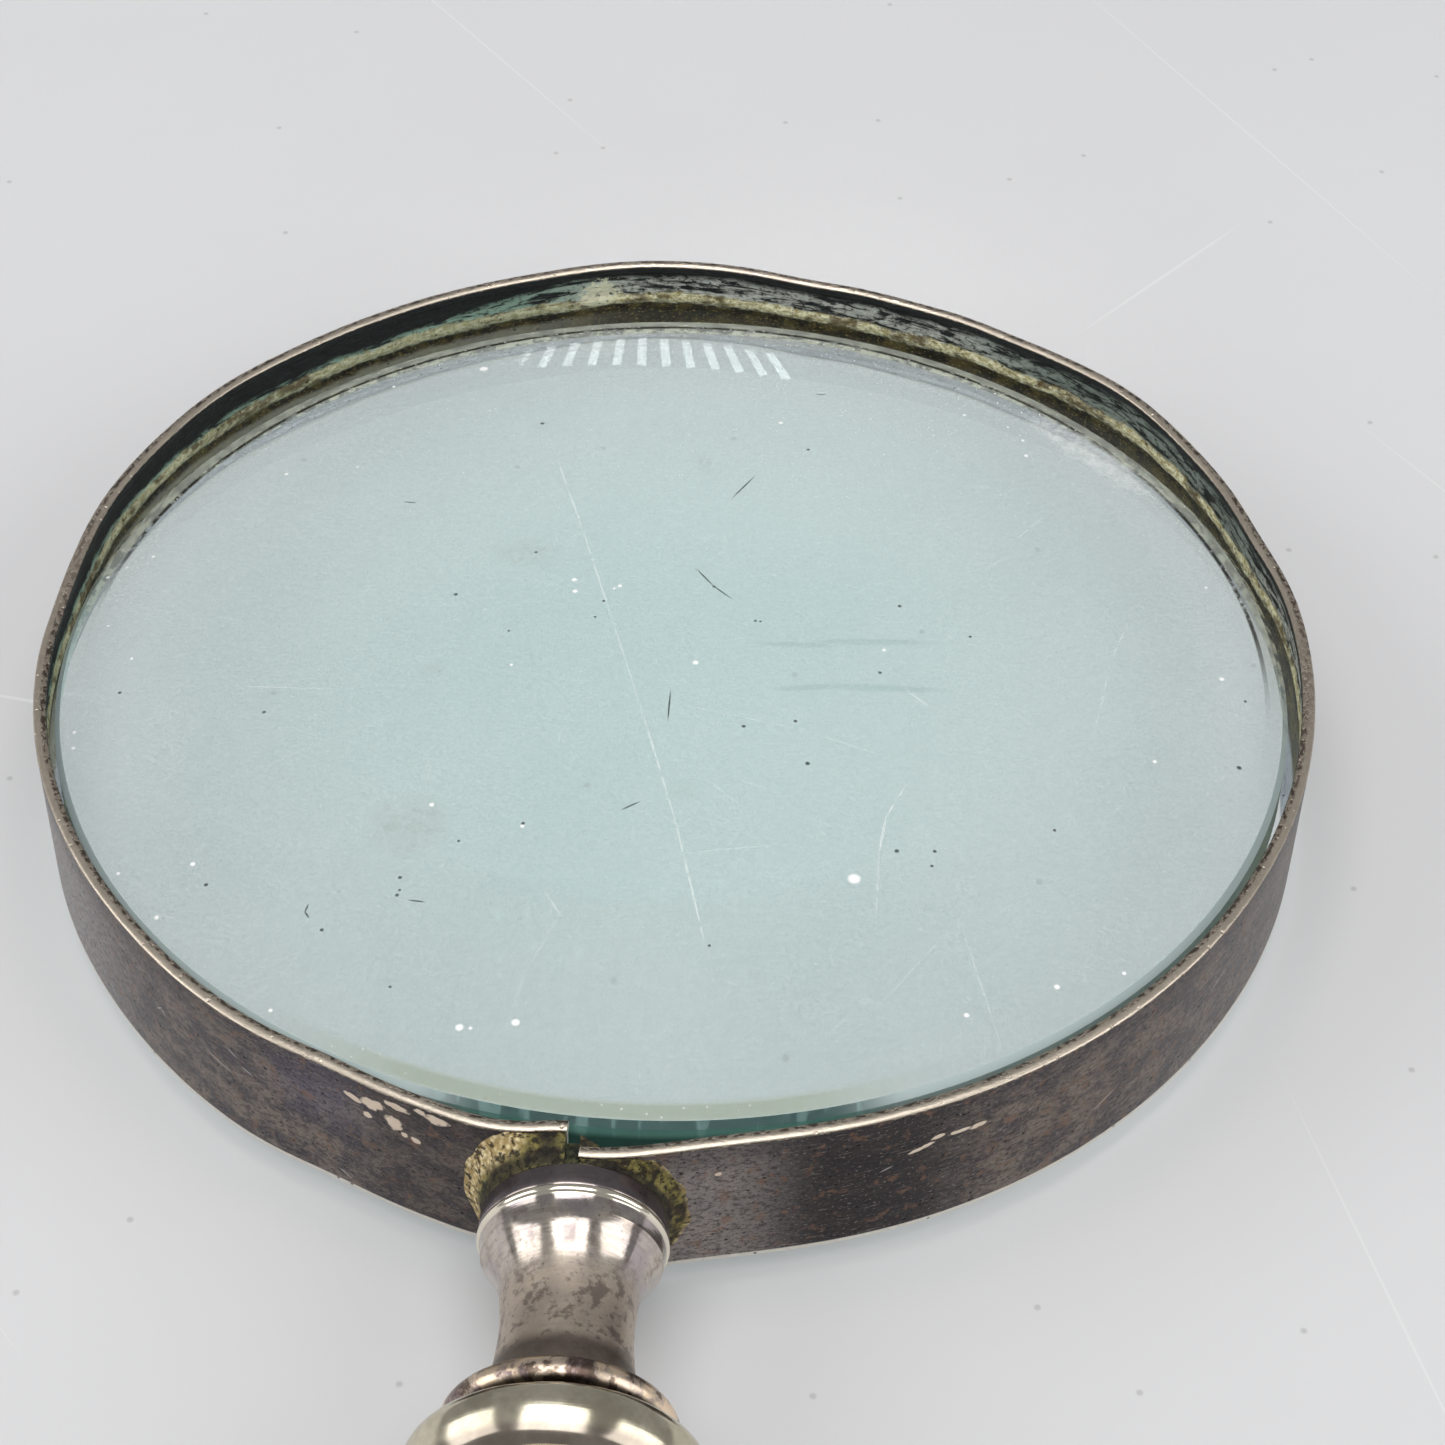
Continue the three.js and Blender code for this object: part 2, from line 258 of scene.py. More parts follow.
def colour(red, green, blue):
    """A colour as it looks on a screen, from 0 to 255, for a shader."""
    shares = [value / 255 for value in (red, green, blue)]
    linear = [s / 12.92 if s <= 0.04045 else ((s + 0.055) / 1.055) ** 2.4 for s in shares]
    return (*linear, 1.0)


def arc(centre, reach, first, last, steps):
    """Points of an arc in a profile, between two angles from the first axis."""
    angles = [math.radians(first + (last - first) * step / steps) for step in range(steps + 1)]
    return [(centre[0] + reach[0] * math.cos(a), centre[1] + reach[1] * math.sin(a)) for a in angles]


def turned(name, profile, place, steps, finish):
    """A turned piece: a profile of (radius, height) points, spun about its axis and put in its place."""
    bm = bmesh.new()
    points = [bm.verts.new((radius, 0, height)) for radius, height in profile]
    edges = [bm.edges.new(pair) for pair in zip(points, points[1:])]
    if profile[0][0] > 0:
        edges.append(bm.edges.new((points[-1], points[0])))
    bmesh.ops.spin(
        bm, geom=points + edges, cent=(0, 0, 0), axis=(0, 0, 1),
        angle=2 * math.pi, steps=steps, use_merge=True,
    )
    bmesh.ops.remove_doubles(bm, verts=bm.verts, dist=1e-7)
    bmesh.ops.recalc_face_normals(bm, faces=bm.faces)
    return piece_from(bm, name, place, finish)


def piece_from(bm, name, place, finish, sharp=24):
    """Makes an object at the origin from a bmesh, with its place in its mesh."""
    bmesh.ops.transform(bm, matrix=place, verts=bm.verts)
    for face in bm.faces:
        face.smooth = True
    for edge in bm.edges:
        edge.smooth = len(edge.link_faces) == 2 and edge.calc_face_angle(0) < math.radians(sharp)
    mesh = bpy.data.meshes.new(name)
    bm.to_mesh(mesh)
    bm.free()
    piece = bpy.data.objects.new(name, mesh)
    bpy.context.scene.collection.objects.link(piece)
    mesh.materials.append(finish.material)
    return piece


def lens_profile():
    face_radius = lens_radius - lens_bevel
    curve = (face_radius ** 2 + lens_bulge ** 2) / (2 * lens_bulge)
    half_angle = math.degrees(math.asin(face_radius / curve))
    top = lens_half_edge + lens_bulge - curve
    upper = arc((0, top), (curve, curve), 90, 90 - half_angle, 36)
    upper[0] = (0.0, top + curve)
    side = lens_half_edge - lens_bevel
    upper += [(lens_radius, side), (lens_radius, side / 3)]
    return upper + [(radius, -height) for radius, height in reversed(upper)]


glass = Finish("old_glass")
glass.shader.inputs["IOR"].default_value = 1.52
glass.set(transmission_weight=1.0)
lens_point = glass.at(lens_place)
lens_x, lens_y, lens_z = glass.parts(lens_point)
lens_plane = glass.joined(lens_x, lens_y, 1.0)
from_middle = glass.length(glass.joined(lens_x, lens_y, 0.0))
on_top = lens_z.more(1.9, 0.05)
ground = from_middle.more(lens_rim - 0.02, 0.03)
lens_turn = lens_y.math("ARCTAN2", lens_x)
at_split = lens_turn.within(-1.75, -1.17, 0.08)
far_side = lens_y.more(2.0, 9.0)

# White lint and dust, by place and radius, and finer dust everywhere
white_specks = [
    (-22.1, 37.6, 0.4), (-29.6, 34.1, 0.16), (-30, 20.5, 0.11), (-36, 19.4, 0.17), (-44.7, 7.5, 0.17),
    (-46.6, 6.1, 0.12), (-47.9, 4.8, 0.17), (-46.1, -1.7, 0.12), (-43, -5.9, 0.14),
    (-45.4, -14.5, 0.17), (-45, -16.3, 0.16), (-8.8, 5.3, 0.22), (-8.5, 3.8, 0.22), (-5, 4.9, 0.19),
    (-5.4, 4.5, 0.12), (-12.1, -5.8, 0.14), (5.4, 31, 0.2), (21.2, 36, 0.16), (26.5, 33, 0.17),
    (26.9, 30.5, 0.2), (42.6, 15, 0.14), (43.9, 3.2, 0.22), (16.9, 0.1, 0.17), (2.3, -3.9, 0.25),
    (-32.4, -28.5, 0.2), (-37.9, -29.5, 0.16), (-35.9, -33.4, 0.16), (-33.9, -33.7, 0.19),
    (-23.5, -41.8, 0.17), (-23.4, -43.3, 0.2), (-19.4, -45.1, 0.22), (-9.7, -42.3, 0.3),
    (-8.9, -42.3, 0.14), (-5.8, -41.5, 0.31), (-15.5, -21.7, 0.2), (-8.3, -23.3, 0.17),
    (16.8, -25.2, 0.48), (38.7, -8.1, 0.17), (32.2, -32.5, 0.22), (37, -30.2, 0.17), (25.9, -36.3, 0.2),
]
white = glass.any([glass.speck(lens_plane, (x, y), radius) for x, y, radius in white_specks])
dust_place = glass.cloud(lens_point, 0.16, 2.0).more(0.45, 0.12)
fine_dust = glass.cells(lens_point, 0.62).less(0.045, 0.03) * dust_place
fine_haze = glass.cloud(lens_point, 2.8, 3.0, 0.75).more(0.5, 0.16)
hairlines = glass.any([
    glass.cloud(
        glass.joined(lens_x * a + lens_y * b, (lens_y * a - lens_x * b) * 0.05, seed), 1.0, 2.0,
    ).more(0.72, 0.04)
    for a, b, seed in ((2.4, 0.5, 0.0), (0.8, 2.2, 7.0), (1.9, -1.5, 15.0))
])

# Dark grains and hairs
dark_specks = [
    (-18.1, 2.6, 0.19), (-6, 2.8, 0.14), (-6.4, 0.7, 0.12), (-13, -1.7, 0.12), (-30.6, -12.3, 0.16),
    (-42.9, -10, 0.16), (-15.2, 28.2, 0.19), (-12.5, 8.7, 0.14), (8.2, 27, 0.16), (2.6, 5.8, 0.17),
    (6.4, 1.9, 0.14), (6.8, 1.9, 0.12), (17.7, 5.9, 0.17), (23.6, 3.2, 0.14), (16.8, -2.7, 0.16),
    (6.9, -10.7, 0.17), (10.8, -9.5, 0.16), (45.8, 1, 0.14), (-30.9, -30.5, 0.17), (-16.5, -29.1, 0.16),
    (-16.3, -30.3, 0.12), (-16.4, -30.8, 0.16), (-21.3, -34.4, 0.16), (-12.8, -25.2, 0.12),
    (-8.3, -23, 0.15), (-15.3, -39.2, 0.12), (-10.3, -48, 0.19), (12.2, -14, 0.2), (45.3, -7, 0.22),
    (19.7, -21.9, 0.19), (22.5, -21.4, 0.16), (22.4, -22.9, 0.14), (31.3, -17.4, 0.14),
    (7, -33.1, 0.12),
]
hairs = [
    ((1.0, 7.8), (2.5, 5.9)), ((2.5, 5.9), (4.1, 4.5)), ((2.7, 18.6), (4.0, 21.7)),
    ((8.0, 36.6), (8.8, 36.7)), ((1.0, -10.6), (0.8, -7.7)), ((-15.4, -31.2), (-14.3, -31.3)),
    ((-22.8, -32.1), (-22.9, -32.8)), ((-22.9, -32.8), (-22.5, -33.3)), ((-24.8, 15.2), (-23.9, 15.1)),
    ((-1.1, -20.8), (0.0, -19.9)),
]
dark = glass.any(
    [glass.speck(lens_plane, (x, y), radius) for x, y, radius in dark_specks]
    + [glass.line(lens_plane, start, end, 0.075) for start, end in hairs]
)

# Scratches: points along each, its half width, and how strongly it shows
scratches = [
    ([(-14.3, 26.4), (-12.9, 22.3)], 0.07, 0.4),
    ([(-12.9, 22.3), (-9.1, 12.0), (-5.4, 1.6)], 0.09, 0.7), ([(-5.4, 1.6), (-1.1, -10.1)], 0.08, 0.55),
    ([(-1.1, -10.1), (3.0, -21.5), (6.5, -32.5)], 0.09, 0.75),
    ([(-33.7, -9.3), (-25.9, -9.5)], 0.07, 0.5), ([(-30.0, -7.3), (-27.2, -8.8)], 0.05, 0.3),
    ([(-29.5, -18.5), (-23.6, -14.5), (-19.5, -11.6)], 0.06, 0.4),
    ([(-42.8, -0.6), (-35.8, -18.5), (-31.5, -29.5)], 0.06, 0.3),
    ([(1.3, -8.9), (10.9, -10.3), (18.4, -12.3)], 0.07, 0.5),
    ([(33.8, -7.4), (35.0, 3.2), (36.2, 8.2)], 0.09, 0.5), ([(35.3, 0.8), (36.8, -6.6)], 0.06, 0.3),
    ([(24.3, 12.5), (25.7, 14.2)], 0.08, 0.5), ([(26.6, 17.2), (28.6, 20.9)], 0.08, 0.5),
    ([(22.7, 19.1), (27.2, 22.3)], 0.05, 0.3), ([(11.2, 18.0), (16.3, 20.7)], 0.05, 0.3),
    ([(19.0, -4.3), (21.1, -6.1)], 0.13, 0.6), ([(29.3, 27.9), (32.1, 14.2)], 0.05, 0.25),
    ([(-5.5, -29.7), (-4.2, -31.5)], 0.09, 0.6),
    ([(-4.2, -31.7), (-5.8, -37.1), (-6.4, -42.6)], 0.08, 0.45),
    ([(1.4, -30.3), (-1.7, -32.7)], 0.06, 0.4), ([(4.2, -16.4), (7.4, -19.0)], 0.11, 0.5),
    ([(4.1, -24.6), (10.4, -22.9)], 0.07, 0.5), ([(3.8, -23.2), (8.4, -22.7)], 0.05, 0.35),
    ([(10.7, -23.6), (9.1, -27.6)], 0.06, 0.4), ([(14.7, -21.6), (9.4, -30.1)], 0.05, 0.35),
    ([(7.2, -30.9), (9.5, -31.9), (10.1, -31.2)], 0.06, 0.4),
    ([(19.7, -15.4), (18.6, -18.6), (18.4, -22.2)], 0.1, 0.75),
    ([(18.4, -22.2), (18.7, -28.1)], 0.09, 0.55), ([(19.8, -15.6), (23.7, -25.1)], 0.06, 0.35),
    ([(22.8, -20.5), (19.9, -23.7)], 0.05, 0.3), ([(17.2, -12.0), (24.5, -13.9)], 0.06, 0.3),
    ([(24.9, -28.1), (28.6, -38.8)], 0.08, 0.5), ([(24.6, -28.0), (20.0, -36.0)], 0.07, 0.45),
    ([(38.5, -14.8), (39.6, -19.8)], 0.06, 0.35), ([(25.5, -24.6), (29.6, -18.6)], 0.06, 0.3),
    ([(9.5, -32.7), (11.3, -41.2)], 0.06, 0.3), ([(21.7, -36.8), (22.6, -42.5)], 0.06, 0.3),
    ([(-2.9, -36.1), (-2.0, -42.5)], 0.07, 0.35),
]
scratched = glass.any([
    glass.line(lens_plane, start, end, width) * strength
    for points, width, strength in scratches for start, end in zip(points, points[1:])
])
scratched = scratched * glass.cloud(lens_point, 1.1, 3.0).more(0.42, 0.14, 0.35, 1.0)

# Stains: brown spots of old damp, an olive rim of dirt on the handle side, and a pale crust at the far right
ragged = (glass.cloud(lens_point, 0.55, 4.0, 0.65) - 0.5) * 2.6
grainy = glass.cloud(lens_point, 1.3, 4.0, 0.7).more(0.5, 0.16)
stains = [
    ((-13.4, 8.6), (2.6, 2.0), 0, 0.5), ((-16.7, -23.9), (3.0, 2.9), 20, 0.6),
    ((-18.3, -6.8), (1.2, 0.7), 30, 0.5), ((-15.2, 27.8), (0.9, 0.9), 0, 0.5),
    ((-0.4, 23.3), (0.6, 1.8), 10, 0.4), ((3.3, -18.1), (1.2, 1.2), 0, 0.3),
]
brown = glass.any([
    glass.oval(lens_plane, centre, reach, tilt, ragged, 0.8) * strength
    for centre, reach, tilt, strength in stains
]) * (0.45 + 0.55 * grainy)
rim_dirt = from_middle.within(47.3, 48.9, 0.4) * lens_turn.within(-2.0, -1.1, 0.2)
crust = glass.oval(lens_plane, (32.4, 32.4), (7.5, 1.7), -42, ragged, 0.9) * (0.4 + 0.6 * grainy)
smears = glass.any([
    glass.line(lens_plane, start, end, width)
    for start, end, width in (
        ((7.4, -0.8), (12.6, -0.2), 0.35), ((12.0, 0.2), (19.8, 1.6), 0.4),
        ((9.3, -6.0), (13.5, -4.9), 0.35), ((12.5, -5.1), (20.9, -4.0), 0.4),
    )
])
wiped = glass.cloud(glass.stretch(lens_point, (1.5, 0.06, 0.06)), 1.0, 3.0).more(0.5, 0.12)
wiped = wiped * glass.oval(lens_plane, (-7.0, -39.5), (20.0, 8.0), 0, None, 0.7)

# What lies on the glass, as one thin dull layer
film = 0.035 + 0.07 * glass.cloud(lens_point, 0.05, 3.0).more(0.5, 0.2) + 0.12 * fine_haze + 0.1 * hairlines
film = film + 0.07 * wiped + 0.12 * from_middle.more(44.0, 3.0) * lens_y.more(-4.0, 14.0) + 0.25 * crust
film = film.both(smears * 0.24).both(brown * 0.6).both(rim_dirt * 0.5).both(fine_dust * 0.35)
film = film.both(scratched * 0.6).both(white * 0.92).both(dark * 0.8)

# Along the border: on the far side a dull grey margin with a dark line inside it, which is a painted
# reflection of the dark wall in the bevel, and by the handle a milky edge
border_noise = glass.cloud(lens_point, 0.7, 4.0, 0.7)
margin = from_middle.within(47.85, 48.9, 0.1) * far_side
# Painted reflection: a dark line of the dark wall, just inside the far margin
reflected_dark_line = from_middle.within(47.4, 47.85, 0.12) * far_side * border_noise.more(0.36, 0.12)
film = film.both(margin * 0.5).both(reflected_dark_line * 0.9) * on_top
film = film.both(ground * (0.86 - at_split * (0.6 - 0.55 * lens_z.less(0.8, 0.4))))
film_colour = glass.layered(
    colour(226, 232, 230),
    (wiped * 0.5, colour(196, 208, 204)),
    (smears * 0.8, colour(146, 164, 164)),
    (brown, colour(122, 116, 88)),
    (rim_dirt * 0.8, colour(132, 140, 96)),
    (margin, colour(172, 174, 166)),
    # painted reflection of the dark wall
    (reflected_dark_line, colour(48, 46, 36)),
    (scratched.both(crust).both(fine_dust), colour(246, 248, 246)),
    (white, colour(252, 252, 250)),
    (dark, colour(34, 36, 36)),
)
edge_dirt = glass.mix(border_noise.more(0.5, 0.07), colour(56, 52, 38), colour(196, 190, 166))
edge_streaks = glass.cloud(glass.joined(lens_x * 1.3, lens_y * 0.4, lens_z * 0.15), 1.0, 3.0).more(0.58, 0.06)
edge_colour = glass.layered(
    colour(194, 209, 207),
    (far_side, edge_dirt),
    (at_split, glass.mix(edge_streaks, colour(40, 76, 76), colour(150, 186, 184))),
    # painted shade: the lower part of the glass edge in the split is darker, as shade in the gap
    (at_split * lens_z.less(0.8, 0.4), colour(26, 50, 48)),
)
film_colour = glass.mix(ground, film_colour, edge_colour)
dull_inputs = {"Base Color": film_colour, "Roughness": 1.0, "Specular IOR Level": 0.0}
dull = glass.node("ShaderNodeBsdfPrincipled", None, dull_inputs)
ground_grain = glass.cloud(glass.joined(lens_x * 1.6, lens_y * 1.6, lens_z * 0.5), 1.0, 4.0, 0.7)
glass.set(
    base_color=glass.mix(ground, (1.0, 1.0, 1.0, 1.0), colour(206, 228, 226)),
    roughness=ground * (0.22 + 0.3 * ground_grain),
)
marked = glass.node("ShaderNodeMixShader", None, [film, Value(glass, glass.shader.outputs[0]), dull])

# Soft light and the lamps' light pass to the surface below the glass
paths = glass.tree.nodes.new("ShaderNodeLightPath")
clear = glass.node("ShaderNodeBsdfTransparent", None, [colour(252, 253, 253)])
seen = glass.node("ShaderNodeMixShader", None, [Value(glass, paths.outputs["Is Diffuse Ray"]), marked, clear])
surface = glass.node("ShaderNodeMixShader", None, [Value(glass, paths.outputs["Is Shadow Ray"]), seen, clear])
glass.feed(glass.output.inputs["Surface"], surface)
tint = glass.node("ShaderNodeVolumeAbsorption", None, [(0.15, 0.78, 0.73, 1), 14.0])
glass.feed(glass.output.inputs["Volume"], tint)

lens = turned("glass_lens", lens_profile(), lens_place, 256, glass)
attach(lens, "root")
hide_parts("lens")


# Band
# A strip of silver-plated brass bent round the glass, with a shallow channel and a thin ridge inside.
# It is tarnished nearly black outside and inside and bitten by old pits, its top edge is worn bright by
# handling, and its right end has sprung outward from the solder.
band_radius = 50.8
band_flat = 6.37
wall_top = 5.4
band_steps = 720
split_angle = -90.6
split_half = math.degrees(1.15 / 2 / band_radius)
band_first = split_angle + split_half
band_last = split_angle + 360 - split_half
bends = [
    (band_first, 1.5, 8), (23, -0.399, 6), (46, 0.553, 8), (62, -0.399, 7), (73, -0.602, 6), (83, -0.7, 6),
    (101, 0.602, 9), (150, 0.553, 10), (165, 0.301, 8), (181, -0.35, 8), (205, 0.133, 12), (248, -0.455, 6),
    (262, 0.322, 4), (269, -0.588, 3), (308, -0.49, 12),
]


def along_band(angle):
    """Length along the band's outside, in millimetres, at an angle in degrees."""
    return math.radians(angle) * band_radius


def band_reach(angle):
    """Outer radius of the band, in millimetres, at an angle in degrees between its two ends."""
    return band_radius + sum(out * math.exp(-(((angle - at) / spread) ** 2)) for at, out, spread in bends)


# Its section, as depth below the outer face and height, from the outer foot round to the inner foot
crown = arc((0.5, band_flat), (-0.5, 0.22), 6, 174, 14)
outer_wall = [(0.0, -band_flat + 2 * band_flat * step / 12) for step in range(13)]
lip = [(1.0, band_flat), (1.0, 6.1), (0.99, 5.88), (0.93, 5.8), (0.7, 5.72), (0.57, 5.6), (0.55, wall_top)]
ridge = [
    (0.55, 4.6), (0.55, 3.9), (0.56, 3.35), (0.62, 3.12), (0.7, 2.9), (0.73, 2.65), (0.7, 2.4), (0.6, 2.2),
    (0.55, 2.05),
]
channel = [(0.55, 1.0), (0.55, -1.0), (0.55, -3.2)]
foot = [(depth, -height) for depth, height in reversed(lip)]
underside = [(depth, -height) for depth, height in reversed(crown)]
section = outer_wall + crown + lip + ridge + channel + foot + underside
section_run = [0.0]
for (depth, height), (next_depth, next_height) in zip(section, section[1:]):
    section_run.append(section_run[-1] + math.hypot(next_depth - depth, next_height - height))
crown_start = section_run[len(outer_wall) - 1]
crown_end = section_run[len(outer_wall) + len(crown)]
wall_start = section_run[section.index((0.55, wall_top))]
foot_start = section_run[len(section) - len(underside)]


def band_mesh():
    bm = bmesh.new()
    run = bm.verts.layers.float.new("run")
    strip = bm.loops.layers.uv.new("strip")
    points = [bm.verts.new((band_radius - depth, 0, height)) for depth, height in section]
    edges = [bm.edges.new(pair) for pair in zip(points, points[1:] + points[:1])]
    for point, length in zip(points, section_run):
        point[run] = length
    to_first = Matrix.Rotation(math.radians(band_first), 3, "Z")
    bmesh.ops.rotate(bm, verts=points, cent=(0, 0, 0), matrix=to_first)
    bmesh.ops.spin(
        bm, geom=points + edges, cent=(0, 0, 0), axis=(0, 0, 1),
        angle=math.radians(band_last - band_first), steps=band_steps,
    )
    round_length = section_run[-1] + 0.1
    for face in bm.faces:
        around = [loop.vert for loop in face.loops]
        turns = [math.degrees(math.atan2(v.co.y, v.co.x)) for v in around]
        turns = [t if t >= band_first - 0.1 else t + 360 for t in turns]
        if max(turns) - min(turns) > 180:
            turns = [t + 360 if t < band_first + 180 else t for t in turns]
        runs = [v[run] for v in around]
        closing = max(runs) - min(runs) > section_run[-1] / 2
        for loop, t, length in zip(face.loops, turns, runs):
            if closing and length < section_run[-1] / 2:
                length += round_length
            loop[strip].uv = (along_band(t), length)
    for vert in bm.verts:
        turn = math.degrees(math.atan2(vert.co.y, vert.co.x))
        turn += 360 if turn < band_first - 0.1 else 0
        reach = math.hypot(vert.co.x, vert.co.y)
        wave = noise.noise(Vector((vert.co.x * 0.16, vert.co.y * 0.16, vert.co.z * 0.1)))
        fine = noise.noise(Vector((vert.co.x * 0.9, vert.co.y * 0.9, vert.co.z * 0.5)))
        out = band_reach(turn) - band_radius + 0.03 * (wave - 1) + 0.008 * (fine - 1)
        vert.co.x *= (reach + out) / reach
        vert.co.y *= (reach + out) / reach
        if abs(vert.co.z) > 6.3:
            worn = 0.5 + 0.5 * noise.noise(vert.co * 0.7)
            vert.co.z -= math.copysign(0.035 * worn, vert.co.z)
    rims = [edge for edge in bm.edges if len(edge.link_faces) == 1]
    bmesh.ops.edgeloop_fill(bm, edges=rims)
    bmesh.ops.recalc_face_normals(bm, faces=bm.faces)
    bmesh.ops.scale(bm, vec=(0.001, 0.001, 0.001), verts=bm.verts)
    return bm


tarnish = Finish("band_tarnish")
strip = tarnish.strip()
along, round_section, _ = tarnish.parts(strip)
turn = along * (180 / math.pi / band_radius)
strip_plane = tarnish.joined(along, round_section, 1.0)
wander = tarnish.cloud(tarnish.stretch(strip, (0.22, 0.3, 0)), 1.0, 5.0, 0.6) - 0.5
mottle = tarnish.cloud(tarnish.stretch(strip, (0.3, 0.42, 0)), 1.0, 6.0, 0.68)
grain = tarnish.cloud(tarnish.stretch(strip, (1.5, 2.3, 0)), 1.0, 5.0, 0.72)
flecks = tarnish.cloud(tarnish.stretch(strip, (3.2, 5.0, 0)), 1.0, 3.0, 0.6)
rubs = tarnish.cloud(tarnish.stretch(strip, (0.5, 6.0, 0)), 1.0, 4.0, 0.6)
pits = tarnish.cells(strip, 0.9).less(0.1, 0.06) * tarnish.cloud(strip, 0.6).more(0.55, 0.05)

# Outside: violet-grey tarnish, clouded with brown. Painted reflections of the room make it lighter at the two
# sides and darkest right of the neck, and painted shade darkens it towards the top edge
up = round_section - band_flat
reflection_light_left = turn.within(186.0, 221.0, 9.0)
reflection_light_right = turn.within(-38.0, -4.0, 8.0)
reflection_dark_right = turn.within(-77.0, -59.0, 5.0)
tan_right = turn.within(-59.0, -38.0, 5.0) * up.within(-4.5, 4.2, 1.6)
violet = turn.within(243.0, 251.0, 3.0) * up.more(0.5, 2.5)
tan_flecks = tarnish.cloud(tarnish.stretch(strip, (0.8, 3.4, 0)), 1.0, 6.0, 0.75)
outside = tarnish.layered(
    tarnish.mix(mottle.more(0.5, 0.09), colour(82, 76, 80), colour(130, 119, 111)),
    (reflection_light_left * 0.85, colour(160, 154, 154)),
    (reflection_light_right * 0.15, colour(140, 132, 130)),
    (reflection_dark_right * 0.9, colour(44, 41, 43)),
    (violet * 0.55, colour(104, 98, 118)),
    (turn.within(-91.0, -75.0, 5.0) * 0.7, colour(160, 152, 148)),
    (tan_right * tan_flecks.more(0.54, 0.08) * 0.6, colour(124, 107, 86)),
    # painted shade towards the top edge
    (up.more(4.4, 1.2) * 0.45, colour(66, 60, 62)),
    (grain.less(0.46, 0.07) * 0.6, colour(52, 47, 50)),
    (flecks.more(0.64, 0.05) * 0.5, colour(172, 160, 150)),
    (flecks.less(0.4, 0.05) * 0.65, colour(38, 34, 36)),
    (rubs.more(0.64, 0.04) * 0.4, colour(166, 158, 152)),
    (turn.within(252.0, 266.0, 3.0) * 0.4, colour(52, 47, 46)),
    (tarnish.cloud(strip, 0.75, 3.0).more(0.62, 0.05) * 0.5, colour(132, 100, 80)),
)

# Top edge: worn grey-beige metal. The half of the crown that faces away from the camera, its glass side near
# the handle and its outer side far from it, is pitted and painted darker as shade
across_crown = (round_section - crown_start) / (crown_end - crown_start)
near_side = turn.less(3.0, 14.0).both(turn.more(177.0, 14.0))
glass_side = across_crown.more(0.56, 0.1)
pitted_and_shaded_half = near_side * glass_side + (1 - near_side) * (1 - glass_side)
rim_pits = tarnish.cloud(tarnish.stretch(strip, (1.5, 2.6, 0)), 1.0, 3.0, 0.6)
rim_pits = rim_pits.more(0.5, 0.05) * pitted_and_shaded_half
rim_dark = across_crown.within(-0.05, 0.05, 0.03).both(across_crown.more(0.94, 0.03))
rim = tarnish.layered(
    tarnish.mix(grain, colour(168, 156, 142), colour(228, 216, 198)),
    # painted shade on the half of the crown that faces away from the camera
    (pitted_and_shaded_half * 0.45, colour(132, 118, 106)),
    (rim_pits.both(rim_dark * grain.more(0.44, 0.08)) * 0.9, colour(50, 38, 30)),
)

# Inside: painted shade, black under the lip, then flaking plate, a cream ridge, then brown dirt, and grey
# metal below the glass
inside_height = wall_top - (round_section - wall_start) + wander * 1.5 + (grain - 0.5) * 0.7
dark_wall = turn.more(108.0, 8.0)
black_reach = turn.more(116.0, 14.0, 5.15, 3.55)
flakes = tarnish.cloud(tarnish.stretch(strip, (0.34, 1.9, 0)), 1.0, 6.0, 0.7, 0.6)
flake_share = flakes.more(0.48, 0.04) * grain.more(0.4, 0.04)
flake_light = tarnish.layered(
    tarnish.mix(grain.more(0.5, 0.15), colour(150, 148, 138), colour(206, 204, 196)),
    (dark_wall, colour(140, 164, 148)),
    (turn.within(20.0, 62.0, 8.0) * 0.75, colour(108, 120, 110)),
)
# Painted shade: near-black under the lip, down to black_reach
shade_under_lip = (inside_height - black_reach).more(0.0, 0.35)
ridge_cream = tarnish.layered(
    tarnish.mix(grain.more(0.5, 0.12), colour(182, 166, 112), colour(248, 240, 206)),
    (dark_wall * 0.5, colour(150, 154, 124)),
    (mottle.more(0.55, 0.06) * 0.8, colour(78, 56, 24)),
    (flecks.less(0.37, 0.04) * 0.8, colour(34, 24, 12)),
)
bare_place = (along_band(105.6), wall_start + 1.9)
bare = tarnish.oval(strip_plane, bare_place, (1.7, 1.3), 15, (grain - 0.5) * 7.0, 0.4)
dirt = tarnish.layered(
    tarnish.mix(mottle.more(0.52, 0.08), colour(30, 23, 11), colour(88, 76, 38)),
    (flecks.more(0.62, 0.05) * 0.8, colour(170, 150, 92)),
)
seat_dust = tarnish.mix(grain, colour(112, 110, 96), colour(186, 182, 166))
below = tarnish.mix(grain, colour(150, 150, 156), colour(196, 196, 204))
inside = tarnish.layered(
    colour(24, 27, 27),
    (flake_share, flake_light),
    (shade_under_lip, colour(17, 18, 19)),
    (shade_under_lip * flecks.more(0.66, 0.04) * 0.6, colour(84, 92, 88)),
    (inside_height.within(2.05, 3.2, 0.16), ridge_cream),
    (bare * 0.85, colour(246, 238, 208)),
    (inside_height.less(2.05, 0.2), dirt),
    (inside_height.less(1.15, 0.35) * (0.12 + 0.6 * dark_wall), seat_dust),
    (inside_height.less(-2.6, 0.5), below),
)

on_crown = round_section.within(crown_start - 0.04, crown_end, 0.03)
on_inside = round_section.within(crown_end, foot_start, 0.04)
# Painted highlight: a bright, less metallic line along the bottom edge and underside
foot_highlight = round_section.more(foot_start, 0.08).both(round_section.less(0.34, 0.06))

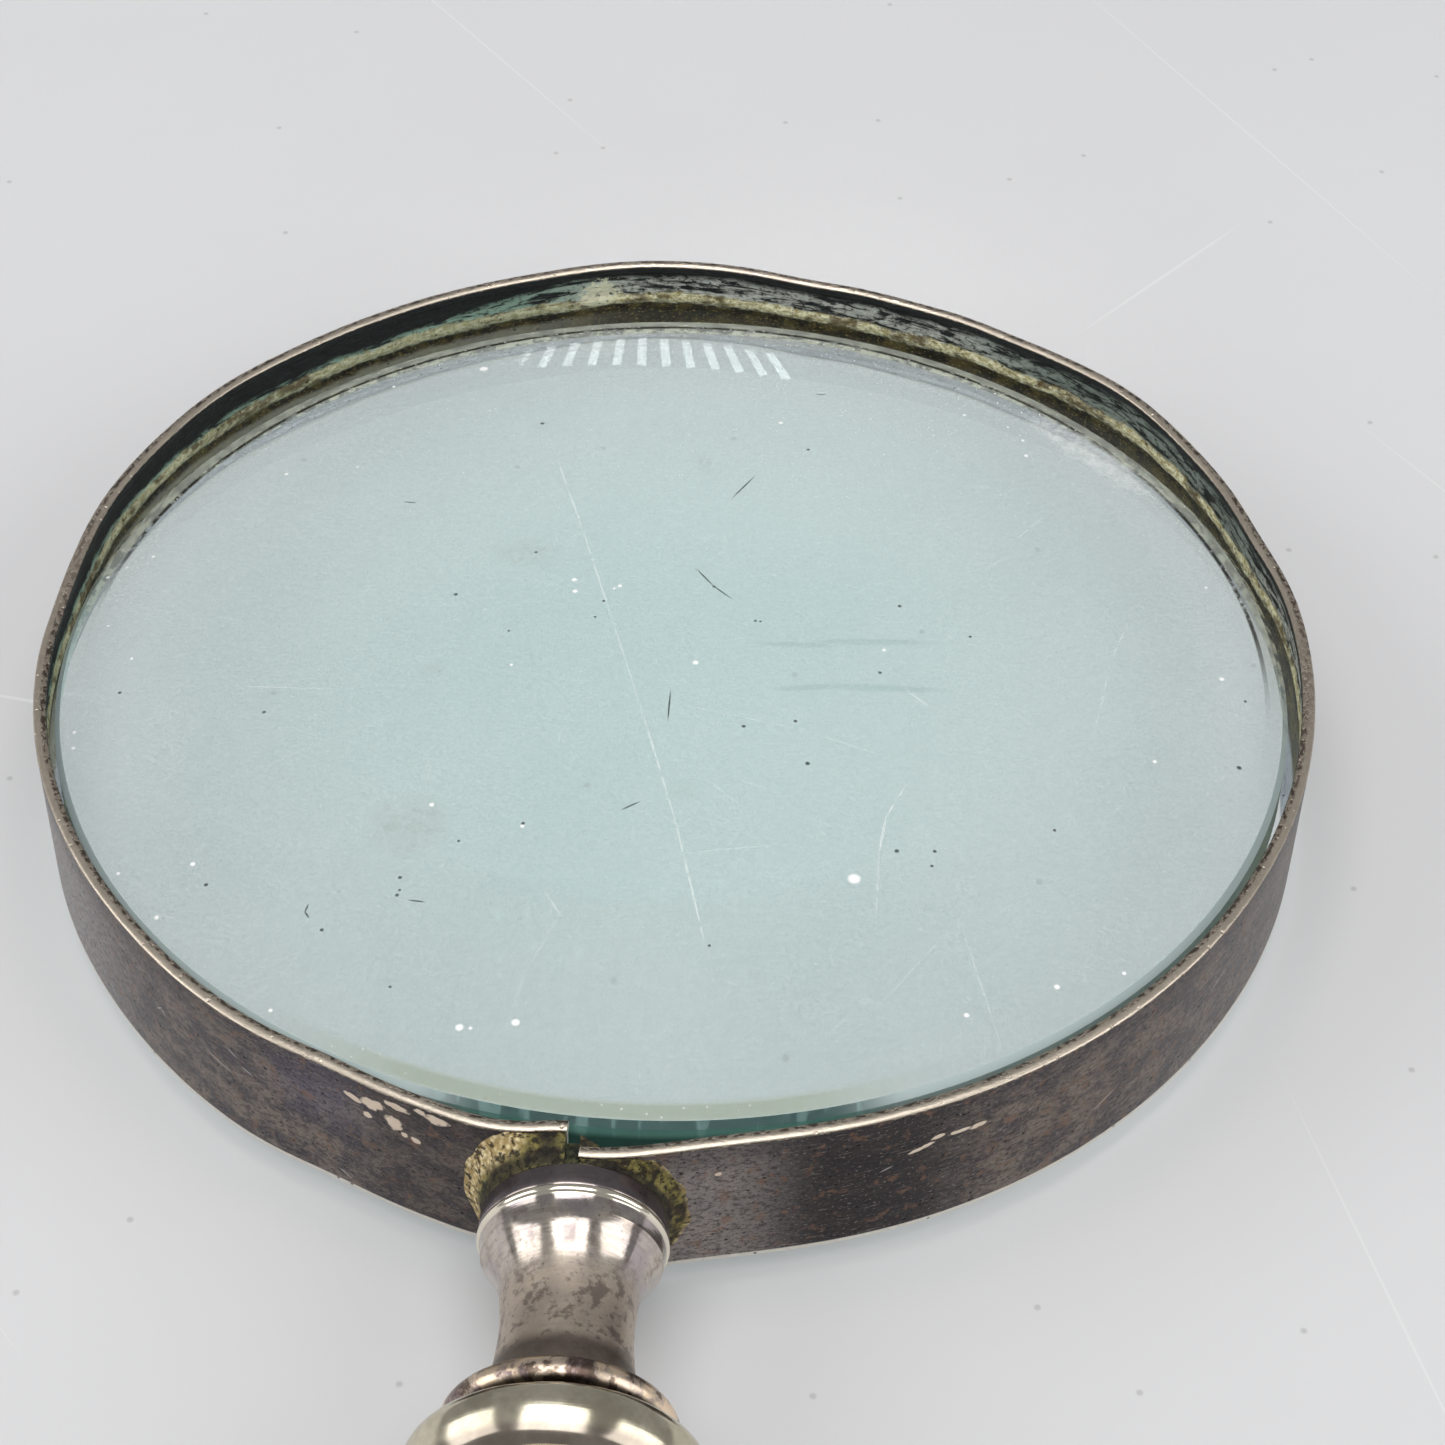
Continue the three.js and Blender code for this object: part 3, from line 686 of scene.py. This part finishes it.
# Worn places where the plate shows cream through the tarnish, by angle, height, reach and turn
worn_places = [
    (250.7, 4.35, 0.75, 0.28, -15), (252.4, 4.6, 1.0, 0.55, 10), (251.9, 3.1, 0.35, 0.3, 0),
    (254.9, 5.45, 0.95, 0.32, -8), (256.8, 5.95, 0.45, 0.25, 0), (258.3, 5.6, 1.0, 0.42, -4),
    (254.4, 3.5, 0.75, 0.6, -50), (255.3, 2.65, 0.28, 0.24, 0), (256.3, 2.45, 0.4, 0.26, -20),
    (-62.7, 2.3, 0.95, 0.2, 18), (-61.3, 3.0, 0.5, 0.2, 10), (-59.3, 2.85, 1.0, 0.18, 0),
    (-57.8, 2.75, 0.7, 0.25, 8), (-79.3, 3.4, 0.25, 0.22, 0),
]
worn_edge = (tarnish.cloud(strip, 1.5, 4.0, 0.6) - 0.5) * 3.2
worn = tarnish.any([
    tarnish.oval(strip_plane, (along_band(angle), height + band_flat), (length, tall), tilt, worn_edge, 0.35)
    for angle, height, length, tall, tilt in worn_places
])
ticks = tarnish.any([
    tarnish.line(strip_plane, (along_band(a), b + band_flat), (along_band(c), d + band_flat), 0.07)
    for a, b, c, d in [
        (235.6, 0.6, 237.7, 0.1), (238.0, 2.6, 238.8, 2.3), (239.5, 1.5, 240.4, 1.2), (228.7, 0.5, 229.3, 1.0),
        (229.3, 1.0, 229.7, 0.5), (248.6, -4.9, 249.5, -5.4), (219.6, -4.2, 220.9, -4.6),
        (-45.5, -2.2, -43.6, -1.4), (-66.0, 0.8, -65.2, 1.1), (-30.5, 0.5, -29.0, 1.2),
    ]
])
worn = worn * (1 - on_inside)
base = tarnish.layered(
    outside,
    (on_inside, inside),
    (on_crown, rim),
    # painted highlight along the bottom edge
    (foot_highlight, tarnish.mix(grain, colour(196, 190, 180), colour(244, 240, 230))),
    (worn, tarnish.mix(grain, colour(216, 192, 168), colour(238, 224, 206))),
    (ticks * 0.6, colour(206, 200, 196)),
    (pits * (1 - worn) * (1 - on_crown) * 0.85, colour(26, 22, 20)),
)
tarnish.set(
    base_color=base,
    metallic=0.92 - 0.65 * on_inside - 0.5 * worn - 0.35 * rim_pits * on_crown - 0.5 * foot_highlight,
    roughness=0.3 + 0.2 * mottle + 0.16 * on_inside - 0.1 * on_crown,
)
relief = grain * 0.5 + flecks * 0.25 - pits - rim_pits * on_crown * 1.2 + flake_share * on_inside * 0.8
tarnish.bump(relief + worn * 0.4, 0.00006)

band = piece_from(band_mesh(), "rim_strip", ring_place, tarnish, 50)
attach(band, "root")
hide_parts("rim_band")


# Solder
# Soft solder holds each end of the band to the neck's flange. It has run out round the flange in a fillet,
# and years of damp have left it pitted: tan and grainy on the left, dark olive on the right.
neck_reach = 0.055
neck_set = math.radians(5.36)
handle_place = (
    ring_place
    @ Matrix.Translation((0, -neck_reach, 0))
    @ Matrix.Rotation(neck_set, 4, "Z")
    @ Matrix.Rotation(math.pi / 2, 4, "X")
)
flange_back = -2.1
flange_reach = 6.45
plug_reach = 6.3
plug_steps = 14


def band_station(side, up):
    """Station along the neck's axis, in millimetres, at which a line beside it meets the band's outside."""
    station = -3.0
    for _ in range(12):
        x = math.cos(neck_set) * side + math.sin(neck_set) * station
        y = -1000 * neck_reach + math.sin(neck_set) * side - math.cos(neck_set) * station
        turn = math.degrees(math.atan2(y, x))
        turn += 360 if turn < band_first else 0
        station += band_reach(turn) - math.hypot(x, y)
    return station


def solder_mesh(side):
    """A plug between the flange and the band, cut off at the split. The left one also gets a block in the
    split's lower part, which stands in for shade there.
    """
    bm = bmesh.new()
    start = Matrix.Translation((0, 0, flange_back + 0.1))
    bmesh.ops.create_circle(bm, segments=144, radius=plug_reach, matrix=start)
    bmesh.ops.edgeloop_fill(bm, edges=bm.edges[:])
    edges = bm.edges[:]
    for step in range(1, plug_steps + 3):
        grown = bmesh.ops.extrude_edge_only(bm, edges=edges)["geom"]
        verts = [item for item in grown if isinstance(item, bmesh.types.BMVert)]
        edges = [item for item in grown if isinstance(item, bmesh.types.BMEdge)]
        share = min(step / plug_steps, 1.0)
        for vert in verts:
            turn = math.atan2(vert.co.y, vert.co.x)
            bumpy = noise.noise(Vector((math.cos(turn) * 3, math.sin(turn) * 3, side * 9.0)))
            spread = 2.1 - 0.35 * side * math.cos(turn) + 0.35 * bumpy
            reach = flange_reach + spread * (1 - math.cos(share * math.pi / 2)) ** 0.8
            x, y = reach * math.cos(turn), reach * math.sin(turn)
            y = max(-plug_reach, min(plug_reach, y))
            seat = band_station(x, y) - 0.12
            height = flange_back + 0.05 + (seat - flange_back) * math.sin(share * math.pi / 2)
            lump = noise.noise(Vector((x * 0.9, y * 0.9, height * 0.9 + side)))
            nodule = noise.noise(Vector((x * 2.6, y * 2.6, height * 2.6 + side)))
            vert.co = (x, y, height + (0.16 * lump + 0.07 * nodule) * math.sin(share * math.pi))
            if step == plug_steps + 1:
                vert.co.z = seat - 0.1
            if step == plug_steps + 2:
                vert.co = (x * 0.4, y * 0.4, band_station(x * 0.4, y * 0.4) - 0.2)
    bmesh.ops.edgeloop_fill(bm, edges=edges)
    bmesh.ops.recalc_face_normals(bm, faces=bm.faces)
    cut = bmesh.ops.bisect_plane(
        bm, geom=bm.verts[:] + bm.edges[:] + bm.faces[:], plane_co=(-0.17 + side * 0.49, 0, 0),
        plane_no=(-side, 0, 0), clear_outer=True,
    )
    rim = [item for item in cut["geom_cut"] if isinstance(item, bmesh.types.BMEdge)]
    bmesh.ops.holes_fill(bm, edges=rim, sides=0)
    # A dark block in the split's lower part, standing in for shade there
    if side < 0:
        split_shade_block = Matrix.Translation((-0.18, 1.4, -3.2)) @ Matrix.Diagonal((1.1, 9.0, 2.2, 1))
        bmesh.ops.create_cube(bm, size=1, matrix=split_shade_block)
    bmesh.ops.recalc_face_normals(bm, faces=bm.faces)
    bmesh.ops.scale(bm, vec=(0.001, 0.001, 0.001), verts=bm.verts)
    return bm


solder = Finish("solder_crust")
solder_point = solder.at(handle_place)
solder_x, solder_y, _ = solder.parts(solder_point)
solder_out = solder.length(solder.joined(solder_x, solder_y, 0.0))
solder_cloud = solder.cloud(solder_point, 0.7, 5.0, 0.65)
nodules = solder.cells(solder_point, 2.3, flat=False)
gaps = solder.cloud(solder_point, 1.7, 4.0, 0.65)
on_left = solder_x.less(-3.6, 0.5)
tan_share = (on_left * solder_out.more(6.95, 0.3)).both(solder_out.more(7.75, 0.2) * 0.6)
tan = solder.mix(nodules.more(0.4, 0.3), colour(240, 222, 176), colour(172, 148, 98))
olive = solder.mix(solder_cloud.more(0.5, 0.08), colour(58, 48, 24), colour(128, 118, 62))
solder_colour = solder.layered(
    olive,
    (tan_share, tan),
    (gaps.less(0.43, 0.04) * 0.9, colour(38, 30, 14)),
    (solder_out.within(6.4, 6.75, 0.1) * 0.8, colour(26, 20, 12)),
    # painted shade: near the axis the crust is dark teal, on the block in the split and the cut faces
    (solder_out.less(6.3, 0.15) * 0.7, colour(24, 40, 34)),
)
solder.set(base_color=solder_colour, roughness=0.85 - 0.25 * solder_cloud, metallic=0.1)
solder_grit = solder.cloud(solder_point, 3.5, 4.0, 0.7)
solder.bump(gaps.more(0.43, 0.06) * 0.8 - nodules * 0.6 + solder_grit * 0.4, 0.0002)
for name, side in (("solder_left", -1), ("solder_right", 1)):
    lump = piece_from(solder_mesh(side), name + "_crust", handle_place, solder, 60)
    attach(lump, "root")
    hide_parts(name)


# Neck
# Turned brass, silver-plated: a flange that sits on the solder, a flare down to a narrow waist, and a foot.
# Handling keeps it half bright. Tarnish has darkened the waist's lower end and the flange's back.
def smooth_run(points, steps):
    """A smooth profile through a few points, as a turner would run them together."""
    ends = [points[0]] + list(points) + [points[-1]]
    run = []
    for first, second, third, fourth in zip(ends, ends[1:], ends[2:], ends[3:]):
        for step in range(steps):
            t = step / steps
            run.append(tuple(
                0.5 * (
                    2 * b + (c - a) * t + (2 * a - 5 * b + 4 * c - d) * t * t
                    + (3 * b - a - 3 * c + d) * t ** 3
                )
                for a, b, c, d in zip(first, second, third, fourth)
            ))
    return run + [points[-1]]


def on_handle(name, profile, finish, steps=192):
    """A piece turned about the handle's axis from (radius, station) points in millimetres."""
    scaled = [(radius / 1000, station / 1000) for radius, station in profile]
    return turned(name, scaled, handle_place, steps, finish)


neck_profile = [
    (0.0, flange_back), (flange_reach, flange_back), (6.55, -2.06), (6.6, -1.96), (6.63, -1.2), (6.66, -0.45),
    *arc((6.42, -0.05), (0.3, 0.35), -50, 72, 8), (6.46, 0.42),
    *smooth_run([(6.34, 1.4), (5.9, 1.95), (5.52, 2.55), (5.06, 3.5), (4.76, 4.8), (4.6, 6.6),
                 (4.61, 8.3), (4.748, 9.9), (4.979, 12.0), (5.0, 14.02)], 5),
    (2.3, 14.04), (2.2, 3.8), (0.0, 3.8),
]
plate = Finish("worn_plate", metallic=1.0)
plate_point = plate.at(handle_place)
plate_x, plate_y, station = plate.parts(plate_point)
blotch = plate.cloud(plate_point, 0.32, 5.0, 0.62)
stain = plate.cloud(plate_point, 0.85, 5.0, 0.68)
speckle = plate.cloud(plate_point, 3.2, 4.0, 0.6)
brushed = plate.cloud(plate.stretch(plate_point, (0.35, 0.35, 4.5)), 1.0, 4.0)
waist = station.within(4.4, 16.0, 1.6)
# Painted reflection of the camera: a darker patch inside the middle lamp's window on the flare
camera_reflection = abs(plate_x).less(0.42, 0.12) * station.within(2.25, 3.35, 0.2) * plate_y.more(0.0, 0.5)
dark_foot = station.within(10.6, 13.4, 0.7) * (0.5 + 0.5 * stain.more(0.42, 0.1))
dark_back = station.less(-0.4, 0.08) * 0.82
bright_ring = station.within(-0.22, 0.38, 0.08)
neck_colour = plate.layered(
    plate.mix(blotch.more(0.5, 0.13), colour(178, 168, 168), colour(206, 196, 184)),
    (stain.more(0.58, 0.07) * 0.5, colour(132, 118, 110)),
    (brushed.more(0.56, 0.06) * 0.35, colour(150, 136, 124)),
    (waist * 0.7, colour(196, 180, 162)),
    (waist * stain.less(0.45, 0.06) * 0.6, colour(92, 80, 76)),
    (dark_foot * 0.85, colour(84, 74, 68)),
    (camera_reflection * 0.55, colour(112, 100, 108)),
    (dark_back, colour(92, 84, 90)),
    (bright_ring * 0.9, colour(240, 232, 214)),
    (speckle.less(0.34, 0.04) * 0.5 * (1 - bright_ring), colour(84, 72, 68)),
)
plate.set(
    base_color=neck_colour,
    roughness=0.09 + 0.07 * blotch.more(0.5, 0.2) + 0.3 * waist + 0.02 * dark_foot + 0.2 * dark_back,
)
plate.bump(brushed * 0.5 + stain * 0.5, 0.00001)
neck = on_handle("neck_turning", neck_profile, plate)
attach(neck, "root")
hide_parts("neck")


# Collar
# One round bead of plated brass between the neck and the ferrule. It is the darkest of the turned pieces,
# and the plate is rubbed through to pink and yellow brass on its crest.
collar_profile = [(2.2, 14.06), *arc((7.02, 15.13), (1.03, 1.05), -90, 90, 20), (2.2, 16.2)]
bead = Finish("bead_metal", metallic=1.0)
bead_point = bead.at(handle_place)
bead_station = bead.parts(bead_point)[2]
bead_blotch = bead.cloud(bead_point, 0.4, 5.0, 0.6)
bead_spots = bead.cloud(bead_point, 0.6, 4.0, 0.6, 0.4)
# Painted shade in the grooves at the bead's two sides, where it meets the neck and the ferrule
groove_shade = bead_station.less(14.5, 0.15).both(bead_station.more(15.8, 0.15))
bead_colour = bead.layered(
    bead.mix(bead_blotch.more(0.5, 0.08), colour(136, 120, 118), colour(216, 198, 178)),
    (bead_spots.more(0.54, 0.04) * 0.8, colour(246, 220, 190)),
    (bead_spots.less(0.43, 0.03) * 0.8, colour(84, 66, 56)),
    (groove_shade * 0.7, colour(48, 42, 40)),
)
bead.set(base_color=bead_colour, roughness=0.2 + 0.2 * bead_blotch)
bead.bump(bead.cloud(bead_point, 2.0, 5.0), 0.00002)
collar = on_handle("collar_bead", collar_profile, bead)
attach(collar, "root")
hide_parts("collar")


# Ferrule
# Spun brass, silver-plated and well polished: a hub, one large bead that falls to a cove, and a sleeve
# with a rolled lip over the handle's tenon.
ferrule_profile = [
    (2.2, 16.26), (7.2, 16.26), (7.2, 17.3),
    *arc((8.77, 18.77), (1.43, 1.43), -80, 0, 14), *arc((8.35, 18.77), (1.85, 3.2), 4, 90, 20)[1:],
    (8.35, 22.3), (8.45, 22.7), (8.9, 22.86), (9.1, 23.1),
    *[(9.1, 23.3 + 9.0 * step / 6) for step in range(7)],
    *arc((9.1, 33.17), (0.5, 0.8), -70, 90, 12),
    (8.1, 33.97), (8.1, 19.4), (2.2, 19.4),
]
bright = Finish("bright_plate", metallic=1.0)
bright_point = bright.at(handle_place)
bright_haze = bright.cloud(bright_point, 0.35, 5.0, 0.6)
bright_rings = bright.cloud(bright.stretch(bright_point, (0.1, 0.1, 2.0)), 1.0, 4.0)
bright_station = bright.parts(bright_point)[2]
# Painted shade in the groove behind the bead and in the cove
groove = bright_station.less(17.5, 0.3).both(bright_station.within(21.9, 22.9, 0.15))
bright_colour = bright.layered(
    bright.mix(bright_haze.more(0.5, 0.15), colour(190, 182, 160), colour(222, 214, 192)),
    # painted reflection of the dark room: purple-brown on the bead's front
    (bright_station.within(20.6, 22.2, 0.3) * 0.5, colour(120, 102, 106)),
    (groove * 0.85, colour(52, 46, 40)),
)
bright.set(base_color=bright_colour, roughness=0.1 + 0.12 * bright_haze + 0.3 * groove)
bright.bump(bright_rings, 0.00001)
ferrule = on_handle("ferrule_turning", ferrule_profile, bright, 224)
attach(ferrule, "root")
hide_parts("ferrule")


# Handle
# Close-grained hardwood, turned to a slow swell, stained dark red-brown and polished by the hand.
# A tenon at each end goes into the ferrule and the butt cap.
handle_profile = [
    (0.0, 77.3), (2.15, 77.3), (2.15, 24.4), (7.8, 24.4), (7.8, 34.0),
    (9.05, 34.0), (9.17, 34.1),
    *smooth_run([(9.2, 34.4), (9.344, 39.79), (9.72, 45.0), (10.208, 50.83), (11.15, 67.39), (11.57, 89.47),
                 (11.195, 102.35), (10.034, 115.23), (8.95, 125.9)], 8),
    (8.85, 126.2), (7.4, 126.2), (7.4, 133.27), (1.25, 133.27), (1.25, 114.4), (0.0, 114.4),
]
wood = Finish("dark_wood")
wood_point = wood.at(handle_place)
figure = wood.cloud(wood.stretch(wood_point, (0.35, 0.35, 0.03)), 1.0, 5.0, 0.6, 0.8)
pores = wood.cloud(wood.stretch(wood_point, (3.2, 3.2, 0.22)), 1.0, 4.0, 0.6)
ring_lines = wood.node(
    "ShaderNodeTexWave", {"wave_type": "BANDS", "bands_direction": "X"},
    {"Vector": wood.stretch(wood_point, (0.5, 0.3, 0.02)), "Scale": 0.9, "Distortion": 5.0, "Detail": 3.0,
     "Detail Scale": 1.2},
)
wood_colour = wood.layered(
    wood.mix(figure.more(0.5, 0.2), colour(54, 24, 18), colour(98, 44, 30)),
    (ring_lines * 0.55, colour(38, 16, 13)),
    (pores.more(0.62, 0.05) * 0.7, colour(24, 10, 8)),
)
wood.set(base_color=wood_colour, roughness=0.26 + 0.2 * pores, coat_weight=0.35, coat_roughness=0.12)
wood.bump(pores.more(0.62, 0.06) * -1.0, 0.00005)
handle = on_handle("handle_turning", handle_profile, wood, 160)
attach(handle, "root")
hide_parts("handle")


# Butt cap
# A drawn and plated brass cap pressed on the handle's tail, with a small bead at its mouth,
# a domed end and a flat face where the screw goes in.
cap_profile = [
    (7.7, 126.35), (9.3, 126.35),
    *arc((9.4, 127.57), (0.5, 1.0), -75, 90, 14), (9.4, 128.8),
    *[(9.4, 129.0 + 5.4 * step / 5) for step in range(6)],
    *arc((5.0, 134.57), (4.4, 4.17), 2, 90, 20), (2.65, 138.74), (2.55, 138.64), (2.55, 137.24),
    (1.25, 137.24), (1.25, 133.4), (7.7, 133.4),
]
cap = on_handle("butt_cap_turning", cap_profile, bright)
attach(cap, "root")
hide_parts("butt_cap")


# Butt screw and tang
# A slotted steel screw holds the cap. A steel rod inside joins the neck, the bead, the ferrule and the handle.
screw_profile = [
    (0.0, 115.3), (1.1, 116.4), (1.1, 137.3), (2.3, 137.3), (2.4, 137.4), (2.4, 138.5), (2.3, 138.7),
    (1.6, 138.74), (0.0, 138.74),
]
steel = Finish("plain_steel", metallic=1.0)
steel_point = steel.at(handle_place)
steel_grain = steel.cloud(steel_point, 1.8, 5.0, 0.65)
steel.set(base_color=steel.mix(steel_grain, colour(112, 108, 104), colour(168, 166, 164)))
steel.set(roughness=0.28 + 0.25 * steel_grain)
steel.bump(steel_grain, 0.00003)


def cut_slot(piece, width, depth, face):
    """Cuts a screwdriver's slot across a screw's head."""
    bm = bmesh.new()
    block = Matrix.Translation((0, 0, face)) @ Matrix.Diagonal((0.006, width, 2 * depth, 1))
    bmesh.ops.create_cube(bm, size=1, matrix=handle_place @ block)
    cutter = piece_from(bm, "slot_cutter", Matrix.Identity(4), steel)
    cut = piece.modifiers.new("slot", "BOOLEAN")
    cut.object = cutter
    cut.solver = "EXACT"
    bpy.context.view_layer.update()
    evaluated = piece.evaluated_get(bpy.context.evaluated_depsgraph_get())
    finished = bpy.data.meshes.new_from_object(evaluated)
    piece.modifiers.clear()
    piece.data = finished
    bpy.data.objects.remove(cutter)


screw = on_handle("butt_screw_turning", screw_profile, steel, 64)
cut_slot(screw, 0.0006, 0.0007, 0.13874)
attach(screw, "root")
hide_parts("butt_screw")
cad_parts["tang"].data.materials.clear()
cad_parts["tang"].data.materials.append(steel.material)


# Table
# A plain pale sheet with faint scratches, on which the band's far edge and the ferrule rest.
table_bm = bmesh.new()
bmesh.ops.create_grid(table_bm, x_segments=1, y_segments=1, size=3.0)
sheet = Finish("pale_sheet", roughness=0.6)
table_point = sheet.at(Matrix.Identity(4))
table_x, table_y, _ = sheet.parts(table_point)
table_plane = sheet.joined(table_x, table_y, 1.0)
table_cloud = sheet.cloud(table_point, 0.02, 4.0)
table_marks = [
    ((-38.0, -2.0), (-30.5, -22.0), 0.2, 0.9), ((-58.0, 72.0), (-48.0, 71.0), 0.2, 0.7),
    ((44.0, 150.0), (33.0, 136.0), 0.15, 0.5), ((-60.0, 30.0), (-42.0, 12.0), 0.1, 0.5),
    ((52.0, 40.0), (64.0, 10.0), 0.1, 0.4), ((30.0, 190.0), (60.0, 150.0), 0.12, 0.4),
    ((-50.0, 190.0), (-22.0, 160.0), 0.12, 0.4), ((60.0, 120.0), (78.0, 100.0), 0.12, 0.4),
]
table_scratches = sheet.any([
    sheet.line(table_plane, start, end, width) * strength
    for start, end, width, strength in table_marks
])
table_specks = sheet.cells(table_point, 0.05).less(0.012, 0.006)
table_colour = sheet.layered(
    sheet.mix(table_cloud, colour(214, 214, 215), colour(220, 220, 221)),
    (table_scratches * 0.8, colour(238, 238, 238)),
    (table_specks * 0.4, colour(150, 148, 146)),
)
sheet.set(base_color=table_colour)
table = piece_from(table_bm, "table", Matrix.Identity(4), sheet)


# Lamps
# Three broad soft lamps hang over the table, one overhead and one to each side, in a pale room.
# They show as bright windows on the neck and the ferrule.
def soft_lamp(name, place, target, size, radiance, spread=180):
    data = bpy.data.lights.new(name, "AREA")
    data.shape = "RECTANGLE"
    data.size, data.size_y = size
    data.energy = radiance * math.pi * size[0] * size[1]
    data.spread = math.radians(spread)
    lamp = bpy.data.objects.new(name, data)
    bpy.context.scene.collection.objects.link(lamp)
    turn = (Vector(place) - Vector(target)).to_track_quat("Z", "Y")
    lamp.matrix_world = Matrix.Translation(place) @ turn.to_matrix().to_4x4()
    lamp.visible_camera = False


aim = (0, 0.03, 0.01)
soft_lamp("lamp_over", (0, -0.13, 1.0), aim, (0.84, 0.88), 2.7)
for name, side in (("lamp_left", -1), ("lamp_right", 1)):
    soft_lamp(name, (0.91 * side, -0.13, 0.52), aim, (0.8, 0.7), 2.0)

# A row of small spotlights overhead, which the glass shows as a row of dots near its far edge
row_count = 13
for index in range(row_count):
    place = (0.03 - 0.00748 * index, 0.2696 - 0.00336 * index + 0.000247 * index ** 2, 0.45)
    spot = (0.0158 - 0.00203 * index, 0.119, 0.009)
    soft_lamp(f"row_lamp_{index}", place, spot, (0.0028, 0.024), 0.28, 9)

room = bpy.data.worlds.new("room")
room.use_nodes = True
room.node_tree.nodes["Background"].inputs["Color"].default_value = (0.98, 0.99, 1.0, 1)
room.node_tree.nodes["Background"].inputs["Strength"].default_value = 0.32
bpy.context.scene.world = room
bpy.context.scene.view_settings.view_transform = "Standard"
